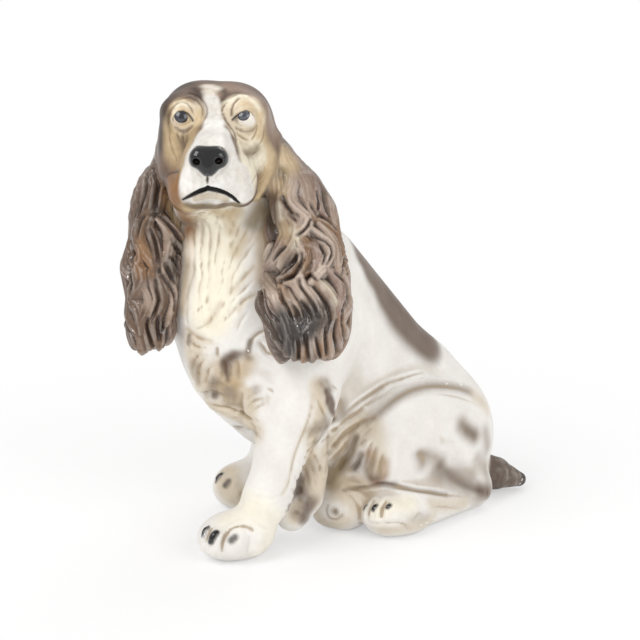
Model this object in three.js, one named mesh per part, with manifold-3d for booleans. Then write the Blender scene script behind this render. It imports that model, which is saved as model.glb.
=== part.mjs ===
// Seated spaniel statue: painted plaster castings joined by a sleeve, rods and pins.
// Millimetres, +Z up. The dog faces -Y with its head turned towards its own left side, +X.
import * as THREE from "three";
import Module from "manifold-3d";

const wasm = await Module();
wasm.setup();

// Gap between two castings at a joint, and round a pin in its hole.
const JOINT_GAP = 0.3;
const PIN_GAP = 0.25;

// Spacing of the surface points on each kind of casting.
const TORSO_SPACING = 19;
const HOLLOW_SPACING = 24;
const HEAD_SPACING = 9;
const EAR_SPACING = 6.5;
const LIMB_SPACING = 10.5;
const SMOOTHING_PASSES = 4;

// The skull's centre, and the head's turn and upward tilt in degrees.
const HEAD_X = 11;
const HEAD_Y = -97;
const HEAD_Z = 420;
const HEAD_TURN = 54;
const HEAD_LIFT = 12;
const HEAD_BLEND = 20;

// The neck joint: a plane under the jaw, measured in the head's own frame.
const NECK_CUT_DROP = 56;
const NECK_CUT_SLOPE = 23;

// Eyes, in the head's own frame.
const EYE_RADIUS = 11;
const EYE_SPREAD = 29.5;
const EYE_DEPTH = 41;
const EYE_HEIGHT = 12;

// Ears: the drop of the tips under the skull's centre, and how broad and deep the locks hang.
const EAR_DROP = 194;
const EAR_ROOT_DROP = 24;
const LEFT_EAR_BREADTH = 1.3;
const RIGHT_EAR_BREADTH = 1.2;

// Tresses that wave down each ear: how many go round it, how thick they are against the ear's own
// radius, how far they sway in degrees, how many waves they make, how deep the hair lies between them,
// and how far their tails hang under the ear's last point and how narrow they get there.
const TRESSES = 7;
const TRESS_SHARE = 0.34;
const TRESS_SWAY = 13;
const TRESS_WAVES = 1.6;
const TRESS_DEPTH = 8;
const TRESS_TAIL = 22;
const TRESS_TAPER = 0.72;
const TRESS_STEPS = 8;

// Where the limbs are parted from the torso.
const FORELEG_CUT = 140;
const LEFT_FORELEG_BACK = -6;
const RIGHT_FORELEG_BACK = 46;
const HIND_FOOT_CUT = 36;
const HIND_PAW_CUT = 46;

// The torso's wall, the solid bosses round rods and pins, and the bore up into the head.
const WALL = 17;
const BOSS_WALL = 9;
const NECK_BORE = 18;

// Sleeve, rods and pins.
const SLEEVE_WALL = 4;
const SLEEVE_LENGTH = 72;
const ROD_RADIUS = 5;
const PIN_RADIUS = 3.5;
const EAR_PIN_LENGTH = 26;
const FOOT_PIN_LENGTH = 48;
const TAIL_PIN_LENGTH = 36;

const FAR = 400;

// Clay forms. Each returns its distance from a point, negative inside the form.
function ball([cx, cy, cz], [rx, ry, rz], blend) {
  const distance = (x, y, z) => {
    const ux = (x - cx) / rx;
    const uy = (y - cy) / ry;
    const uz = (z - cz) / rz;
    const reach = Math.hypot(ux, uy, uz);
    const slope = Math.hypot(ux / rx, uy / ry, uz / rz) + 1e-9;
    return (reach * (reach - 1)) / slope;
  };
  return { blend, distance };
}

// A round limb from a to b that tapers between two radii, broadened sideways.
function limb([ax, ay, az], fromRadius, [bx, by, bz], toRadius, blend, breadth = 1) {
  const dx = (bx - ax) / breadth;
  const dy = by - ay;
  const dz = bz - az;
  const squared = dx * dx + dy * dy + dz * dz;
  const distance = (x, y, z) => {
    const px = (x - ax) / breadth;
    const py = y - ay;
    const pz = z - az;
    const along = THREE.MathUtils.clamp((px * dx + py * dy + pz * dz) / squared, 0, 1);
    const radius = fromRadius + (toRadius - fromRadius) * along;
    return Math.hypot(px - along * dx, py - along * dy, pz - along * dz) - radius;
  };
  return { blend, distance };
}

// A lock of hair through several points, with its own radius at each.
function lock(points, radii, blend, breadth) {
  const parts = points
    .slice(1)
    .map((to, n) => limb(points[n], radii[n], to, radii[n + 1], blend, breadth));
  const distance = (x, y, z) => Math.min(...parts.map((part) => part.distance(x, y, z)));
  return { blend, distance };
}

function softUnion(a, b, blend) {
  const overlap = Math.max(blend - Math.abs(a - b), 0) / blend;
  return Math.min(a, b) - (overlap * overlap * blend) / 4;
}

function modelled(forms) {
  return (x, y, z) => {
    let near = FAR;
    for (const form of forms) {
      near = softUnion(near, form.distance(x, y, z), form.blend);
    }
    return near;
  };
}

const pair = (make) => [make(1), make(-1)];
const radians = THREE.MathUtils.degToRad;

// The neck runs from the shoulders to just under the skull.
const NECK_LOW = [4, -48, 285];
const NECK_HIGH = [HEAD_X - 1, HEAD_Y + 17, HEAD_Z - 35];

// Torso, seen as one mass of overlapping forms.
const torsoForms = [
  limb([0, 0, 246], 76, [0, 118, 118], 70, 30),
  ball([0, 141, 80], [80, 72, 77], 44),
  ball([0, 136, 24], [80, 74, 66], 30),
  limb([0, -45, 235], 66, [0, -20, 150], 58, 30),
  ball([0, -72, 208], [58, 50, 80], 36),
  limb(NECK_LOW, 66, NECK_HIGH, 48, 45),
  ball([2, -86, 250], [48, 42, 82], 30),
  ball([-28, -95, 265], [32, 32, 56], 24),
  ...pair((side) => ball([side * 52, -28, 222], [36, 54, 76], 30)),
  ...pair((side) => ball([side * 74, 92, 84], [34, 68, 72], 14)),
  ...pair((side) => ball([side * 56, 153, 78], [42, 54, 64], 30)),
  limb([0, -10, 130], 50, [0, 90, 95], 62, 30),
  ball([46, 31, 84], [22, 36, 56], 20),
];

// Left foreleg set forward, right foreleg upright.
const forelegForms = [
  limb([60, -30, 205], 42, [66, -40, 150], 35, 20),
  limb([66, -42, 160], 33, [64, -82, 62], 25, 20),
  limb([64, -84, 60], 24, [58, -98, 28], 25, 14),
  ball([50, -104, 20], [32, 38, 24], 14),
  lock(
    [
      [64, -30, 130],
      [63, -26, 105],
      [62, -22, 72],
      [60, -26, 46],
      [58, -44, 30],
    ],
    [20, 17, 16, 16, 16],
    10,
    1,
  ),
  limb([-60, -20, 205], 40, [-64, 8, 150], 34, 20),
  limb([-64, 8, 160], 30, [-60, 18, 60], 23, 20),
  limb([-60, 18, 60], 23, [-59, -6, 26], 21, 14),
  ball([-58, -32, 20], [28, 33, 23], 14),
];

// Left hind foot along the side, right hind foot folded under the belly with its sole outwards.
const SOLE = [56, 26, 26];
const hindForms = [
  limb([80, 172, 22], 22, [98, 76, 22], 23, 14),
  ball([98, 58, 22], [28, 38, 24], 12),
  limb([-80, 168, 24], 24, [0, 62, 24], 24, 14),
  ball(SOLE, [26, 31, 27], 8),
];

const TAIL_ROOT = [40, 182, 27];
const TAIL_BEND = [58, 221, 20];
const TAIL_TIP = [71, 247, 11];
const tailForms = [lock([TAIL_ROOT, TAIL_BEND, TAIL_TIP], [25, 17, 8], 12, 1)];

// Head, in its own frame: the skull's centre at the origin, the muzzle towards -Y.
const headForms = [
  ball([1, 10, 2], [55, 58, 49], 10),
  ...pair((side) => ball([side * 29, -28, 18], [22, 20, 16], 14)),
  ...pair((side) => ball([side * 34, -10, -22], [23, 36, 32], 18)),
  limb([0, -32, -2], 23, [0, -74, -20], 20, 18),
  ...pair((side) => ball([side * 20, -60, -42], [20, 30, 25], 14)),
  ...pair((side) => ball([side * 27, -52, -55], [13, 26, 15], 12)),
  ball([0, -68, -34], [25, 24, 24], 12),
  limb([0, -60, -62], 12, [0, -5, -50], 28, 10),
  ball([0, -92, -28], [18, 11, 13], 4),
];

// An ear: a core under the hair, with tresses round it that start below its root and wave down to its tip.
function ear(points, radii, breadth, phase) {
  const core = radii.map((radius, n) => radius - (n > 0 ? TRESS_DEPTH : 0));
  const mixed = (list, at) => {
    const n = Math.min(Math.floor(at), list.length - 2);
    return THREE.MathUtils.lerp(list[n], list[n + 1], at - n);
  };
  const tress = (number) => {
    const line = [];
    const thick = [];
    for (let step = 0; step <= TRESS_STEPS; step += 1) {
      const share = step / TRESS_STEPS;
      const at = THREE.MathUtils.lerp(0.45, points.length - 1, share);
      const sway = TRESS_SWAY * Math.sin(2 * Math.PI * TRESS_WAVES * share + 0.9 * number);
      const angle = radians((360 * number) / TRESSES + phase + sway);
      const isTail = step === TRESS_STEPS;
      const radius = mixed(radii, at) * (isTail ? TRESS_TAPER : 1);
      const out = radius * (1 - TRESS_SHARE);
      line.push([
        mixed(points.map((p) => p[0]), at) + breadth * out * Math.cos(angle),
        mixed(points.map((p) => p[1]), at) + out * Math.sin(angle),
        mixed(points.map((p) => p[2]), at) - (isTail ? TRESS_TAIL : 0),
      ]);
      thick.push(radius * TRESS_SHARE);
    }
    return lock(line, thick, 2.5, breadth);
  };
  return [lock(points, core, 14, breadth), ...Array.from({ length: TRESSES }, (_, n) => tress(n))];
}

// Ears hang from the sides of the skull, the left one over the shoulder, the right one over the chest.
const leftEarForms = ear(
  [
    [50, 6, -EAR_ROOT_DROP],
    [74, 0, -66],
    [84, -6, -102],
    [88, -10, -140],
    [88, -16, -EAR_DROP],
  ],
  [20, 29, 34, 35, 32],
  LEFT_EAR_BREADTH,
  0,
);
const rightEarForms = ear(
  [
    [-47, 10, -EAR_ROOT_DROP],
    [-57, 14, -68],
    [-61, 22, -104],
    [-62, 26, -140],
    [-59, 30, -EAR_DROP],
  ],
  [15, 25, 28, 29, 23],
  RIGHT_EAR_BREADTH,
  180,
);

const headTurn = new THREE.Euler(radians(-HEAD_LIFT), 0, radians(HEAD_TURN), "ZYX");
const headSpot = new THREE.Vector3(HEAD_X, HEAD_Y, HEAD_Z);
const headPlace = new THREE.Matrix4().makeRotationFromEuler(headTurn).setPosition(headSpot);
const headPlaceBack = headPlace.clone().invert();

// The same field, read at points that a matrix first moves.
function seenThrough(matrix, field) {
  const point = new THREE.Vector3();
  return (x, y, z) => {
    point.set(x, y, z).applyMatrix4(matrix);
    return field(point.x, point.y, point.z);
  };
}

const bodyField = modelled([...torsoForms, ...forelegForms, ...hindForms, ...tailForms]);
const headField = seenThrough(headPlaceBack, modelled(headForms));
const figure = (x, y, z) => softUnion(bodyField(x, y, z), headField(x, y, z), HEAD_BLEND);

function manifoldOf(points, faces) {
  const vertProperties = new Float32Array(points);
  const triVerts = new Uint32Array(faces);
  return new wasm.Manifold(new wasm.Mesh({ numProp: 3, vertProperties, triVerts }));
}

// A solid from a geometry class, with the points that share a place made one.
function solidOf(geometry, matrix = new THREE.Matrix4()) {
  const flat = geometry.index ? geometry.toNonIndexed() : geometry;
  const source = flat.getAttribute("position");
  const point = new THREE.Vector3();
  const seen = new Map();
  const points = [];
  const corners = [];
  for (let i = 0; i < source.count; i += 1) {
    point.fromBufferAttribute(source, i).applyMatrix4(matrix);
    const key = point.toArray().map((v) => Math.round(v * 1e4)).join();
    if (!seen.has(key)) {
      seen.set(key, points.length / 3);
      points.push(point.x, point.y, point.z);
    }
    corners.push(seen.get(key));
  }
  const faces = [];
  for (let i = 0; i < corners.length; i += 3) {
    const [a, b, c] = corners.slice(i, i + 3);
    if (a !== b && b !== c && c !== a) {
      faces.push(a, b, c);
    }
  }
  return manifoldOf(points, faces);
}

function geometryOf(solid) {
  const mesh = solid.getMesh();
  const geometry = new THREE.BufferGeometry();
  geometry.setAttribute("position", new THREE.BufferAttribute(new Float32Array(mesh.vertProperties), 3));
  geometry.setIndex(new THREE.BufferAttribute(new Uint32Array(mesh.triVerts), 1));
  geometry.computeVertexNormals();
  return geometry;
}

const moved = (solid, matrix) => solidOf(geometryOf(solid), matrix);

// The solid with each surface point moved out along its normal.
function swollen(solid, by) {
  const geometry = geometryOf(solid);
  const spots = geometry.getAttribute("position");
  const normals = geometry.getAttribute("normal");
  const points = [];
  for (let i = 0; i < spots.count; i += 1) {
    points.push(spots.getX(i) + by * normals.getX(i));
    points.push(spots.getY(i) + by * normals.getY(i));
    points.push(spots.getZ(i) + by * normals.getZ(i));
  }
  return manifoldOf(points, geometry.index.array);
}

// Surface of a field inside a box: one point per sheet in each grid cell, joined by quads.
function skin(field, low, high, spacing) {
  const margin = 2 * spacing;
  const start = low.map((v) => v - margin);
  const size = low.map((v, a) => Math.ceil((high[a] + margin - start[a]) / spacing) + 1);
  const bounded = (x, y, z) => {
    const inX = Math.max(low[0] - x, x - high[0]);
    const inY = Math.max(low[1] - y, y - high[1]);
    const inZ = Math.max(low[2] - z, z - high[2]);
    return Math.max(field(x, y, z), inX, inY, inZ);
  };
  const stride = [1, size[0], size[0] * size[1]];
  const values = new Float64Array(size[0] * size[1] * size[2]);
  const corner = [0, 0, 0];
  for (corner[2] = 0; corner[2] < size[2]; corner[2] += 1) {
    for (corner[1] = 0; corner[1] < size[1]; corner[1] += 1) {
      for (corner[0] = 0; corner[0] < size[0]; corner[0] += 1) {
        const at = corner.map((n, a) => start[a] + n * spacing);
        values[corner[0] + corner[1] * stride[1] + corner[2] * stride[2]] = bounded(...at);
      }
    }
  }
  const inside = (index) => values[index] < 0;

  // Edge numbers in a cell: four along each axis, told apart by the offsets on the other two axes.
  const edgeCode = (axis, next, after) => axis * 4 + next + 2 * after;
  const edgeStart = (base, axis, next, after) =>
    base + next * stride[(axis + 1) % 3] + after * stride[(axis + 2) % 3];
  const points = [];
  const sheetPoint = new Map();
  const cellSheets = (cell, base) => {
    const parent = new Map();
    const crossing = new Map();
    for (let axis = 0; axis < 3; axis += 1) {
      for (let n = 0; n < 4; n += 1) {
        const from = edgeStart(base, axis, n % 2, n >> 1);
        if (inside(from) !== inside(from + stride[axis])) {
          const code = axis * 4 + n;
          parent.set(code, code);
          crossing.set(code, { axis, n, share: values[from] / (values[from] - values[from + stride[axis]]) });
        }
      }
    }
    if (parent.size === 0) {
      return;
    }
    const top = (code) => (parent.get(code) === code ? code : top(parent.get(code)));
    const join = (a, b) => parent.set(top(a), top(b));
    for (let axis = 0; axis < 3; axis += 1) {
      const b = (axis + 1) % 3;
      const c = (axis + 2) % 3;
      for (let side = 0; side < 2; side += 1) {
        const face = [
          edgeCode(b, 0, side),
          edgeCode(b, 1, side),
          edgeCode(c, side, 0),
          edgeCode(c, side, 1),
        ].filter((code) => parent.has(code));
        if (face.length === 2) {
          join(face[0], face[1]);
        }
        if (face.length === 4) {
          for (let n = 0; n < 4; n += 1) {
            const onB = n % 2;
            const onC = n >> 1;
            if (inside(base + side * stride[axis] + onB * stride[b] + onC * stride[c])) {
              join(edgeCode(b, onC, side), edgeCode(c, side, onB));
            }
          }
        }
      }
    }
    const sheets = new Map();
    for (const [code, { axis, n, share }] of crossing) {
      const spot = [0, 0, 0];
      spot[axis] = share;
      spot[(axis + 1) % 3] = n % 2;
      spot[(axis + 2) % 3] = n >> 1;
      const sheet = sheets.get(top(code)) ?? { sum: [0, 0, 0], codes: [] };
      sheet.sum = sheet.sum.map((v, a) => v + spot[a]);
      sheet.codes.push(code);
      sheets.set(top(code), sheet);
    }
    for (const { sum, codes } of sheets.values()) {
      codes.forEach((code) => sheetPoint.set(base * 12 + code, points.length));
      points.push(sum.map((v, a) => start[a] + (cell[a] + v / codes.length) * spacing));
    }
  };
  const cells = (visit) => {
    for (let k = 0; k < size[2] - 1; k += 1) {
      for (let j = 0; j < size[1] - 1; j += 1) {
        for (let i = 0; i < size[0] - 1; i += 1) {
          visit([i, j, k], i + j * stride[1] + k * stride[2]);
        }
      }
    }
  };
  cells(cellSheets);

  const quads = [];
  const around = [[0, 0], [1, 0], [1, 1], [0, 1]];
  cells((cell, base) => {
    for (let axis = 0; axis < 3; axis += 1) {
      const b = (axis + 1) % 3;
      const c = (axis + 2) % 3;
      if (inside(base) !== inside(base + stride[axis]) && cell[b] > 0 && cell[c] > 0) {
        const quad = around.map(([onB, onC]) => {
          const owner = base - onB * stride[b] - onC * stride[c];
          return sheetPoint.get(owner * 12 + edgeCode(axis, onB, onC));
        });
        quads.push(inside(base) ? quad : quad.reverse());
      }
    }
  });

  // The points are evened out along the surface and set back on it.
  const settle = (p) => {
    const step = spacing * 0.05;
    const here = bounded(...p);
    const slope = p.map((v, a) => {
      const ahead = [...p];
      ahead[a] += step;
      return (bounded(...ahead) - here) / step;
    });
    const squared = Math.max(slope[0] ** 2 + slope[1] ** 2 + slope[2] ** 2, 0.2);
    const far = THREE.MathUtils.clamp(here / squared, -spacing / 2, spacing / 2);
    return p.map((v, a) => v - far * slope[a]);
  };
  let places = points;
  for (let pass = 0; pass < SMOOTHING_PASSES; pass += 1) {
    const sums = places.map(() => [0, 0, 0, 0]);
    for (const quad of quads) {
      for (let n = 0; n < 4; n += 1) {
        const sum = sums[quad[n]];
        for (const other of [places[quad[(n + 1) % 4]], places[quad[(n + 3) % 4]]]) {
          other.forEach((v, a) => {
            sum[a] += v;
          });
          sum[3] += 1;
        }
      }
    }
    places = places.map((p, i) => settle(settle(p.map((v, a) => (v + sums[i][a] / sums[i][3]) / 2))));
  }
  const gapOf = (a, b) => Math.hypot(...places[a].map((v, n) => v - places[b][n]));
  const faces = [];
  for (const [a, b, c, d] of quads) {
    if (gapOf(a, c) < gapOf(b, d)) {
      faces.push(a, b, c, a, c, d);
    } else {
      faces.push(a, b, d, b, c, d);
    }
  }
  return manifoldOf(places.flat(), faces);
}

// A block between two corners, grown on every side, and placed by a matrix.
function block(low, high, grow = 0, matrix = new THREE.Matrix4()) {
  const size = high.map((v, a) => v - low[a] + 2 * grow);
  const centre = high.map((v, a) => (v + low[a]) / 2);
  const at = matrix.clone().multiply(new THREE.Matrix4().makeTranslation(...centre));
  return solidOf(new THREE.BoxGeometry(...size), at);
}

// A place at the middle of a straight run, with local Y along the run.
function along(from, to) {
  const a = new THREE.Vector3(...from);
  const b = new THREE.Vector3(...to);
  const heading = b.clone().sub(a).normalize();
  const turn = new THREE.Quaternion().setFromUnitVectors(new THREE.Vector3(0, 1, 0), heading);
  const middle = a.clone().add(b).divideScalar(2);
  const matrix = new THREE.Matrix4().makeRotationFromQuaternion(turn).setPosition(middle);
  return { length: a.distanceTo(b), matrix };
}

const ROUND = 24;
function rod(from, to, radius) {
  const run = along(from, to);
  const holeRadius = radius + PIN_GAP;
  const bossRadius = radius + BOSS_WALL;
  const hole = new THREE.CylinderGeometry(holeRadius, holeRadius, run.length + 2 * PIN_GAP, ROUND);
  const boss = new THREE.CylinderGeometry(bossRadius, bossRadius, run.length + 2 * BOSS_WALL, ROUND);
  return {
    matrix: run.matrix,
    geometry: new THREE.CylinderGeometry(radius, radius, run.length, ROUND),
    hole: solidOf(hole, run.matrix),
    boss: solidOf(boss, run.matrix),
  };
}

// A point a given distance from one point towards another.
function towards(from, to, distance) {
  const a = new THREE.Vector3(...from);
  const step = new THREE.Vector3(...to).sub(a).setLength(distance);
  return a.add(step).toArray();
}

// Regions that belong to each casting. The grown copy is what is taken from the neighbours.
const half = JOINT_GAP / 2;
const above = block([-FAR, -FAR, 0], [FAR, FAR, 2 * FAR]);
const leftForelegRegion = (grow) =>
  block([32, -FAR, 50], [FAR, LEFT_FORELEG_BACK, FORELEG_CUT], grow).add(
    block([6, -FAR, -FAR], [FAR, LEFT_FORELEG_BACK, 70], grow),
  );
const rightForelegRegion = (grow) =>
  block([-FAR, -FAR, -FAR], [-28, RIGHT_FORELEG_BACK, FORELEG_CUT], grow);
const soleTurn = new THREE.Matrix4().makeRotationZ(radians(36)).setPosition(SOLE[0], SOLE[1], 0);
const rightPawRegion = (grow) =>
  block([-34, -90, -FAR], [27, 37, HIND_PAW_CUT], grow, soleTurn).subtract(leftForelegRegion(half - grow));
const leftFootRegion = (grow) =>
  block([64, LEFT_FORELEG_BACK + JOINT_GAP, -FAR], [FAR, 204, HIND_FOOT_CUT], grow).subtract(
    rightPawRegion(half - grow),
  );
const tailRegion = (grow) => block([20, TAIL_BEND[1], -FAR], [FAR, FAR, 90], grow);
const neckTurn = new THREE.Matrix4()
  .makeRotationX(radians(NECK_CUT_SLOPE))
  .setPosition(0, 0, -NECK_CUT_DROP);
const headRegion = (grow, matrix) =>
  block([-FAR, -FAR, 0], [FAR, FAR, FAR], grow, matrix.clone().multiply(neckTurn));

// Sleeve, rods and pins, with their holes.
const neckJoint = new THREE.Vector3(0, 0, -NECK_CUT_DROP).applyMatrix4(headPlace);
const neckMiddle = towards(NECK_LOW, NECK_HIGH, (neckJoint.z - NECK_LOW[2]) * 1.05);
const neckTop = towards(neckMiddle, NECK_HIGH, 1);
const sleeveFoot = towards(neckMiddle, neckTop, -SLEEVE_LENGTH / 2);
const sleeveHead = towards(neckMiddle, neckTop, SLEEVE_LENGTH / 2);
const boreFoot = towards(neckMiddle, neckTop, -140);
const boreHead = towards(neckMiddle, neckTop, SLEEVE_LENGTH / 2 + 16);
const boreRun = along(boreFoot, boreHead);
const neckBore = solidOf(new THREE.CylinderGeometry(NECK_BORE, NECK_BORE, boreRun.length, 36), boreRun.matrix);
const sleeveRun = along(sleeveFoot, sleeveHead);
const sleeveOuter = NECK_BORE - PIN_GAP;
const sleeveInner = sleeveOuter - SLEEVE_WALL;
const sleeveProfile = [
  [sleeveInner, -SLEEVE_LENGTH / 2],
  [sleeveOuter, -SLEEVE_LENGTH / 2],
  [sleeveOuter, SLEEVE_LENGTH / 2],
  [sleeveInner, SLEEVE_LENGTH / 2],
  [sleeveInner, -SLEEVE_LENGTH / 2],
].map(([x, y]) => new THREE.Vector2(x, y));
const sleeveGeometry = new THREE.LatheGeometry(sleeveProfile, 36);

const leftForelegRod = rod([64.5, -72, 84], [62, -33, 192], ROD_RADIUS);
const rightForelegRod = rod([-61, 15, 82], [-62, -6, 192], ROD_RADIUS);
const footPinLow = HIND_FOOT_CUT - FOOT_PIN_LENGTH / 2;
const leftFootPin = rod([91, 112, footPinLow], [91, 112, footPinLow + FOOT_PIN_LENGTH], PIN_RADIUS);
const pawPinLow = HIND_PAW_CUT - FOOT_PIN_LENGTH * 0.6;
const rightFootPin = rod([48, 24, pawPinLow], [48, 24, pawPinLow + FOOT_PIN_LENGTH], PIN_RADIUS);
const tailPinRoot = towards(TAIL_BEND, TAIL_TIP, -TAIL_PIN_LENGTH * 0.55);
const tailPinTip = towards(TAIL_BEND, TAIL_TIP, TAIL_PIN_LENGTH * 0.45);
const tailPin = rod(tailPinRoot, tailPinTip, PIN_RADIUS);
const earPinInner = 38;
const earPin = (side) =>
  rod([side * earPinInner, 4, -40], [side * (earPinInner + EAR_PIN_LENGTH), 4, -40], PIN_RADIUS);
const leftEarPin = earPin(1);
const rightEarPin = earPin(-1);

// Castings in the statue's frame.
const torsoSkin = skin(figure, [-150, -190, -25], [150, 275, HEAD_Z + 60], TORSO_SPACING);
const torsoMass = modelled(torsoForms);
const inset = (x, y, z) => torsoMass(x, y, z) + WALL;
const hollow = skin(inset, [-110, -150, -20], [110, 240, HEAD_Z - 90], HOLLOW_SPACING)
  .subtract(leftForelegRegion(WALL))
  .subtract(rightForelegRegion(WALL))
  .subtract(rightPawRegion(WALL))
  .subtract(leftFootRegion(WALL))
  .subtract(leftForelegRod.boss)
  .subtract(rightForelegRod.boss)
  .subtract(leftFootPin.boss)
  .subtract(rightFootPin.boss)
  .subtract(tailPin.boss);
const torsoOuter = torsoSkin
  .intersect(above)
  .subtract(headRegion(half, headPlace))
  .subtract(leftForelegRegion(half))
  .subtract(rightForelegRegion(half))
  .subtract(rightPawRegion(half))
  .subtract(leftFootRegion(half))
  .subtract(tailRegion(half));
const torso = torsoOuter
  .subtract(hollow)
  .subtract(neckBore)
  .subtract(leftForelegRod.hole)
  .subtract(rightForelegRod.hole)
  .subtract(leftFootPin.hole)
  .subtract(rightFootPin.hole)
  .subtract(tailPin.hole);

const limbSkin = (low, high) => skin(figure, low, high, LIMB_SPACING).intersect(above);
const leftForeleg = limbSkin([-10, -165, -20], [125, 5, FORELEG_CUT + 20])
  .intersect(leftForelegRegion(-half))
  .subtract(leftForelegRod.hole);
const rightForeleg = limbSkin([-120, -95, -20], [-10, 65, FORELEG_CUT + 20])
  .intersect(rightForelegRegion(-half))
  .subtract(rightForelegRod.hole);
const leftFoot = limbSkin([45, -30, -20], [150, 225, HIND_FOOT_CUT + 20])
  .intersect(leftFootRegion(-half))
  .subtract(leftFootPin.hole);
const rightPaw = limbSkin([0, -35, -20], [105, 85, HIND_PAW_CUT + 20])
  .intersect(rightPawRegion(-half))
  .subtract(rightFootPin.hole);
const tail = limbSkin([20, TAIL_BEND[1] - 20, -20], [125, 280, 80])
  .intersect(tailRegion(-half))
  .subtract(tailPin.hole);

// Castings in the head's frame.
const eyeGeometry = new THREE.SphereGeometry(EYE_RADIUS, 18, 12);
const socketGeometry = new THREE.SphereGeometry(EYE_RADIUS + PIN_GAP, 18, 12);
const eyePlace = (side) => new THREE.Matrix4().makeTranslation(side * EYE_SPREAD, -EYE_DEPTH, EYE_HEIGHT);
const headOuter = skin(seenThrough(headPlace, figure), [-90, -120, -130], [90, 95, 75], HEAD_SPACING)
  .intersect(headRegion(-half, new THREE.Matrix4()));
const head = headOuter
  .subtract(moved(neckBore, headPlaceBack))
  .subtract(solidOf(socketGeometry, eyePlace(1)))
  .subtract(solidOf(socketGeometry, eyePlace(-1)))
  .subtract(leftEarPin.hole)
  .subtract(rightEarPin.hole);

const EAR_SEAT = 0.45;
const headSeat = swollen(headOuter, EAR_SEAT).add(headOuter);
const torsoSeat = moved(swollen(torsoOuter, EAR_SEAT).add(torsoOuter), headPlaceBack);
const earCasting = (forms, low, high, pin) =>
  skin(modelled(forms), low, high, EAR_SPACING).subtract(headSeat).subtract(torsoSeat).subtract(pin.hole);
const leftEar = earCasting(leftEarForms, [20, -70, -260], [150, 60, 20], leftEarPin);
const rightEar = earCasting(rightEarForms, [-120, -50, -250], [-20, 80, 20], rightEarPin);

// Paints and metals.
const finish = (color, roughness, metalness = 0) => new THREE.MeshStandardMaterial({ color, roughness, metalness });
const IVORY = 0xe6dfcf;
const TAN = 0xc9b08a;
const BROWN = 0x7a624c;
const DARK_BROWN = 0x4a3d33;
const SLATE = 0x2c3036;
const STEEL = 0x8f9296;
const CARD = 0xa88c66;

const statue = new THREE.Group();
const headGroup = new THREE.Group();
headGroup.position.copy(headSpot);
headGroup.rotation.copy(headTurn);
statue.add(headGroup);

function piece(group, name, geometry, material, matrix = new THREE.Matrix4()) {
  const mesh = new THREE.Mesh(geometry, material);
  mesh.name = name;
  mesh.applyMatrix4(matrix);
  group.add(mesh);
}

piece(statue, "torso_shell", geometryOf(torso), finish(IVORY, 0.45));
piece(statue, "left_foreleg", geometryOf(leftForeleg), finish(IVORY, 0.45));
piece(statue, "right_foreleg", geometryOf(rightForeleg), finish(IVORY, 0.45));
piece(statue, "left_hind_foot", geometryOf(leftFoot), finish(IVORY, 0.45));
piece(statue, "right_hind_paw", geometryOf(rightPaw), finish(IVORY, 0.45));
piece(statue, "tail", geometryOf(tail), finish(DARK_BROWN, 0.4));
piece(headGroup, "head_shell", geometryOf(head), finish(TAN, 0.4));
piece(headGroup, "left_ear", geometryOf(leftEar), finish(BROWN, 0.4));
piece(headGroup, "right_ear", geometryOf(rightEar), finish(BROWN, 0.4));
piece(headGroup, "left_eye", eyeGeometry, finish(SLATE, 0.15), eyePlace(1));
piece(headGroup, "right_eye", eyeGeometry, finish(SLATE, 0.15), eyePlace(-1));
piece(headGroup, "left_ear_pin", leftEarPin.geometry, finish(STEEL, 0.4, 0.9), leftEarPin.matrix);
piece(headGroup, "right_ear_pin", rightEarPin.geometry, finish(STEEL, 0.4, 0.9), rightEarPin.matrix);
piece(statue, "neck_sleeve", sleeveGeometry, finish(CARD, 0.8), sleeveRun.matrix);
piece(statue, "left_foreleg_rod", leftForelegRod.geometry, finish(STEEL, 0.4, 0.9), leftForelegRod.matrix);
piece(statue, "right_foreleg_rod", rightForelegRod.geometry, finish(STEEL, 0.4, 0.9), rightForelegRod.matrix);
piece(statue, "left_foot_pin", leftFootPin.geometry, finish(STEEL, 0.4, 0.9), leftFootPin.matrix);
piece(statue, "right_paw_pin", rightFootPin.geometry, finish(STEEL, 0.4, 0.9), rightFootPin.matrix);
piece(statue, "tail_pin", tailPin.geometry, finish(STEEL, 0.4, 0.9), tailPin.matrix);

// The origin is set on the floor under the middle of the statue.
statue.updateMatrixWorld(true);
const extent = new THREE.Box3().setFromObject(statue, true);
const middle = extent.getCenter(new THREE.Vector3());
statue.position.set(-middle.x, -middle.y, -extent.min.z);

const root = new THREE.Group();
root.add(statue);

export default root;
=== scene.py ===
"""Painted plaster spaniel: the looks of the statue, modelled round its packed castings.

The clay forms are those of the castings, in millimetres, in the sculptor's frame: the floor at Z 0, the
chest towards -Y and the dog's left side towards +X. Tool marks, hair and paint are drawn on sheets, which are
enlarged parts of the reference view, and each drawn point is carried along the line of sight on to the clay.
"""
import logging
import math
from dataclasses import dataclass, field
from enum import Enum
from typing import Callable, ClassVar, Iterable, Sequence

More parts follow.
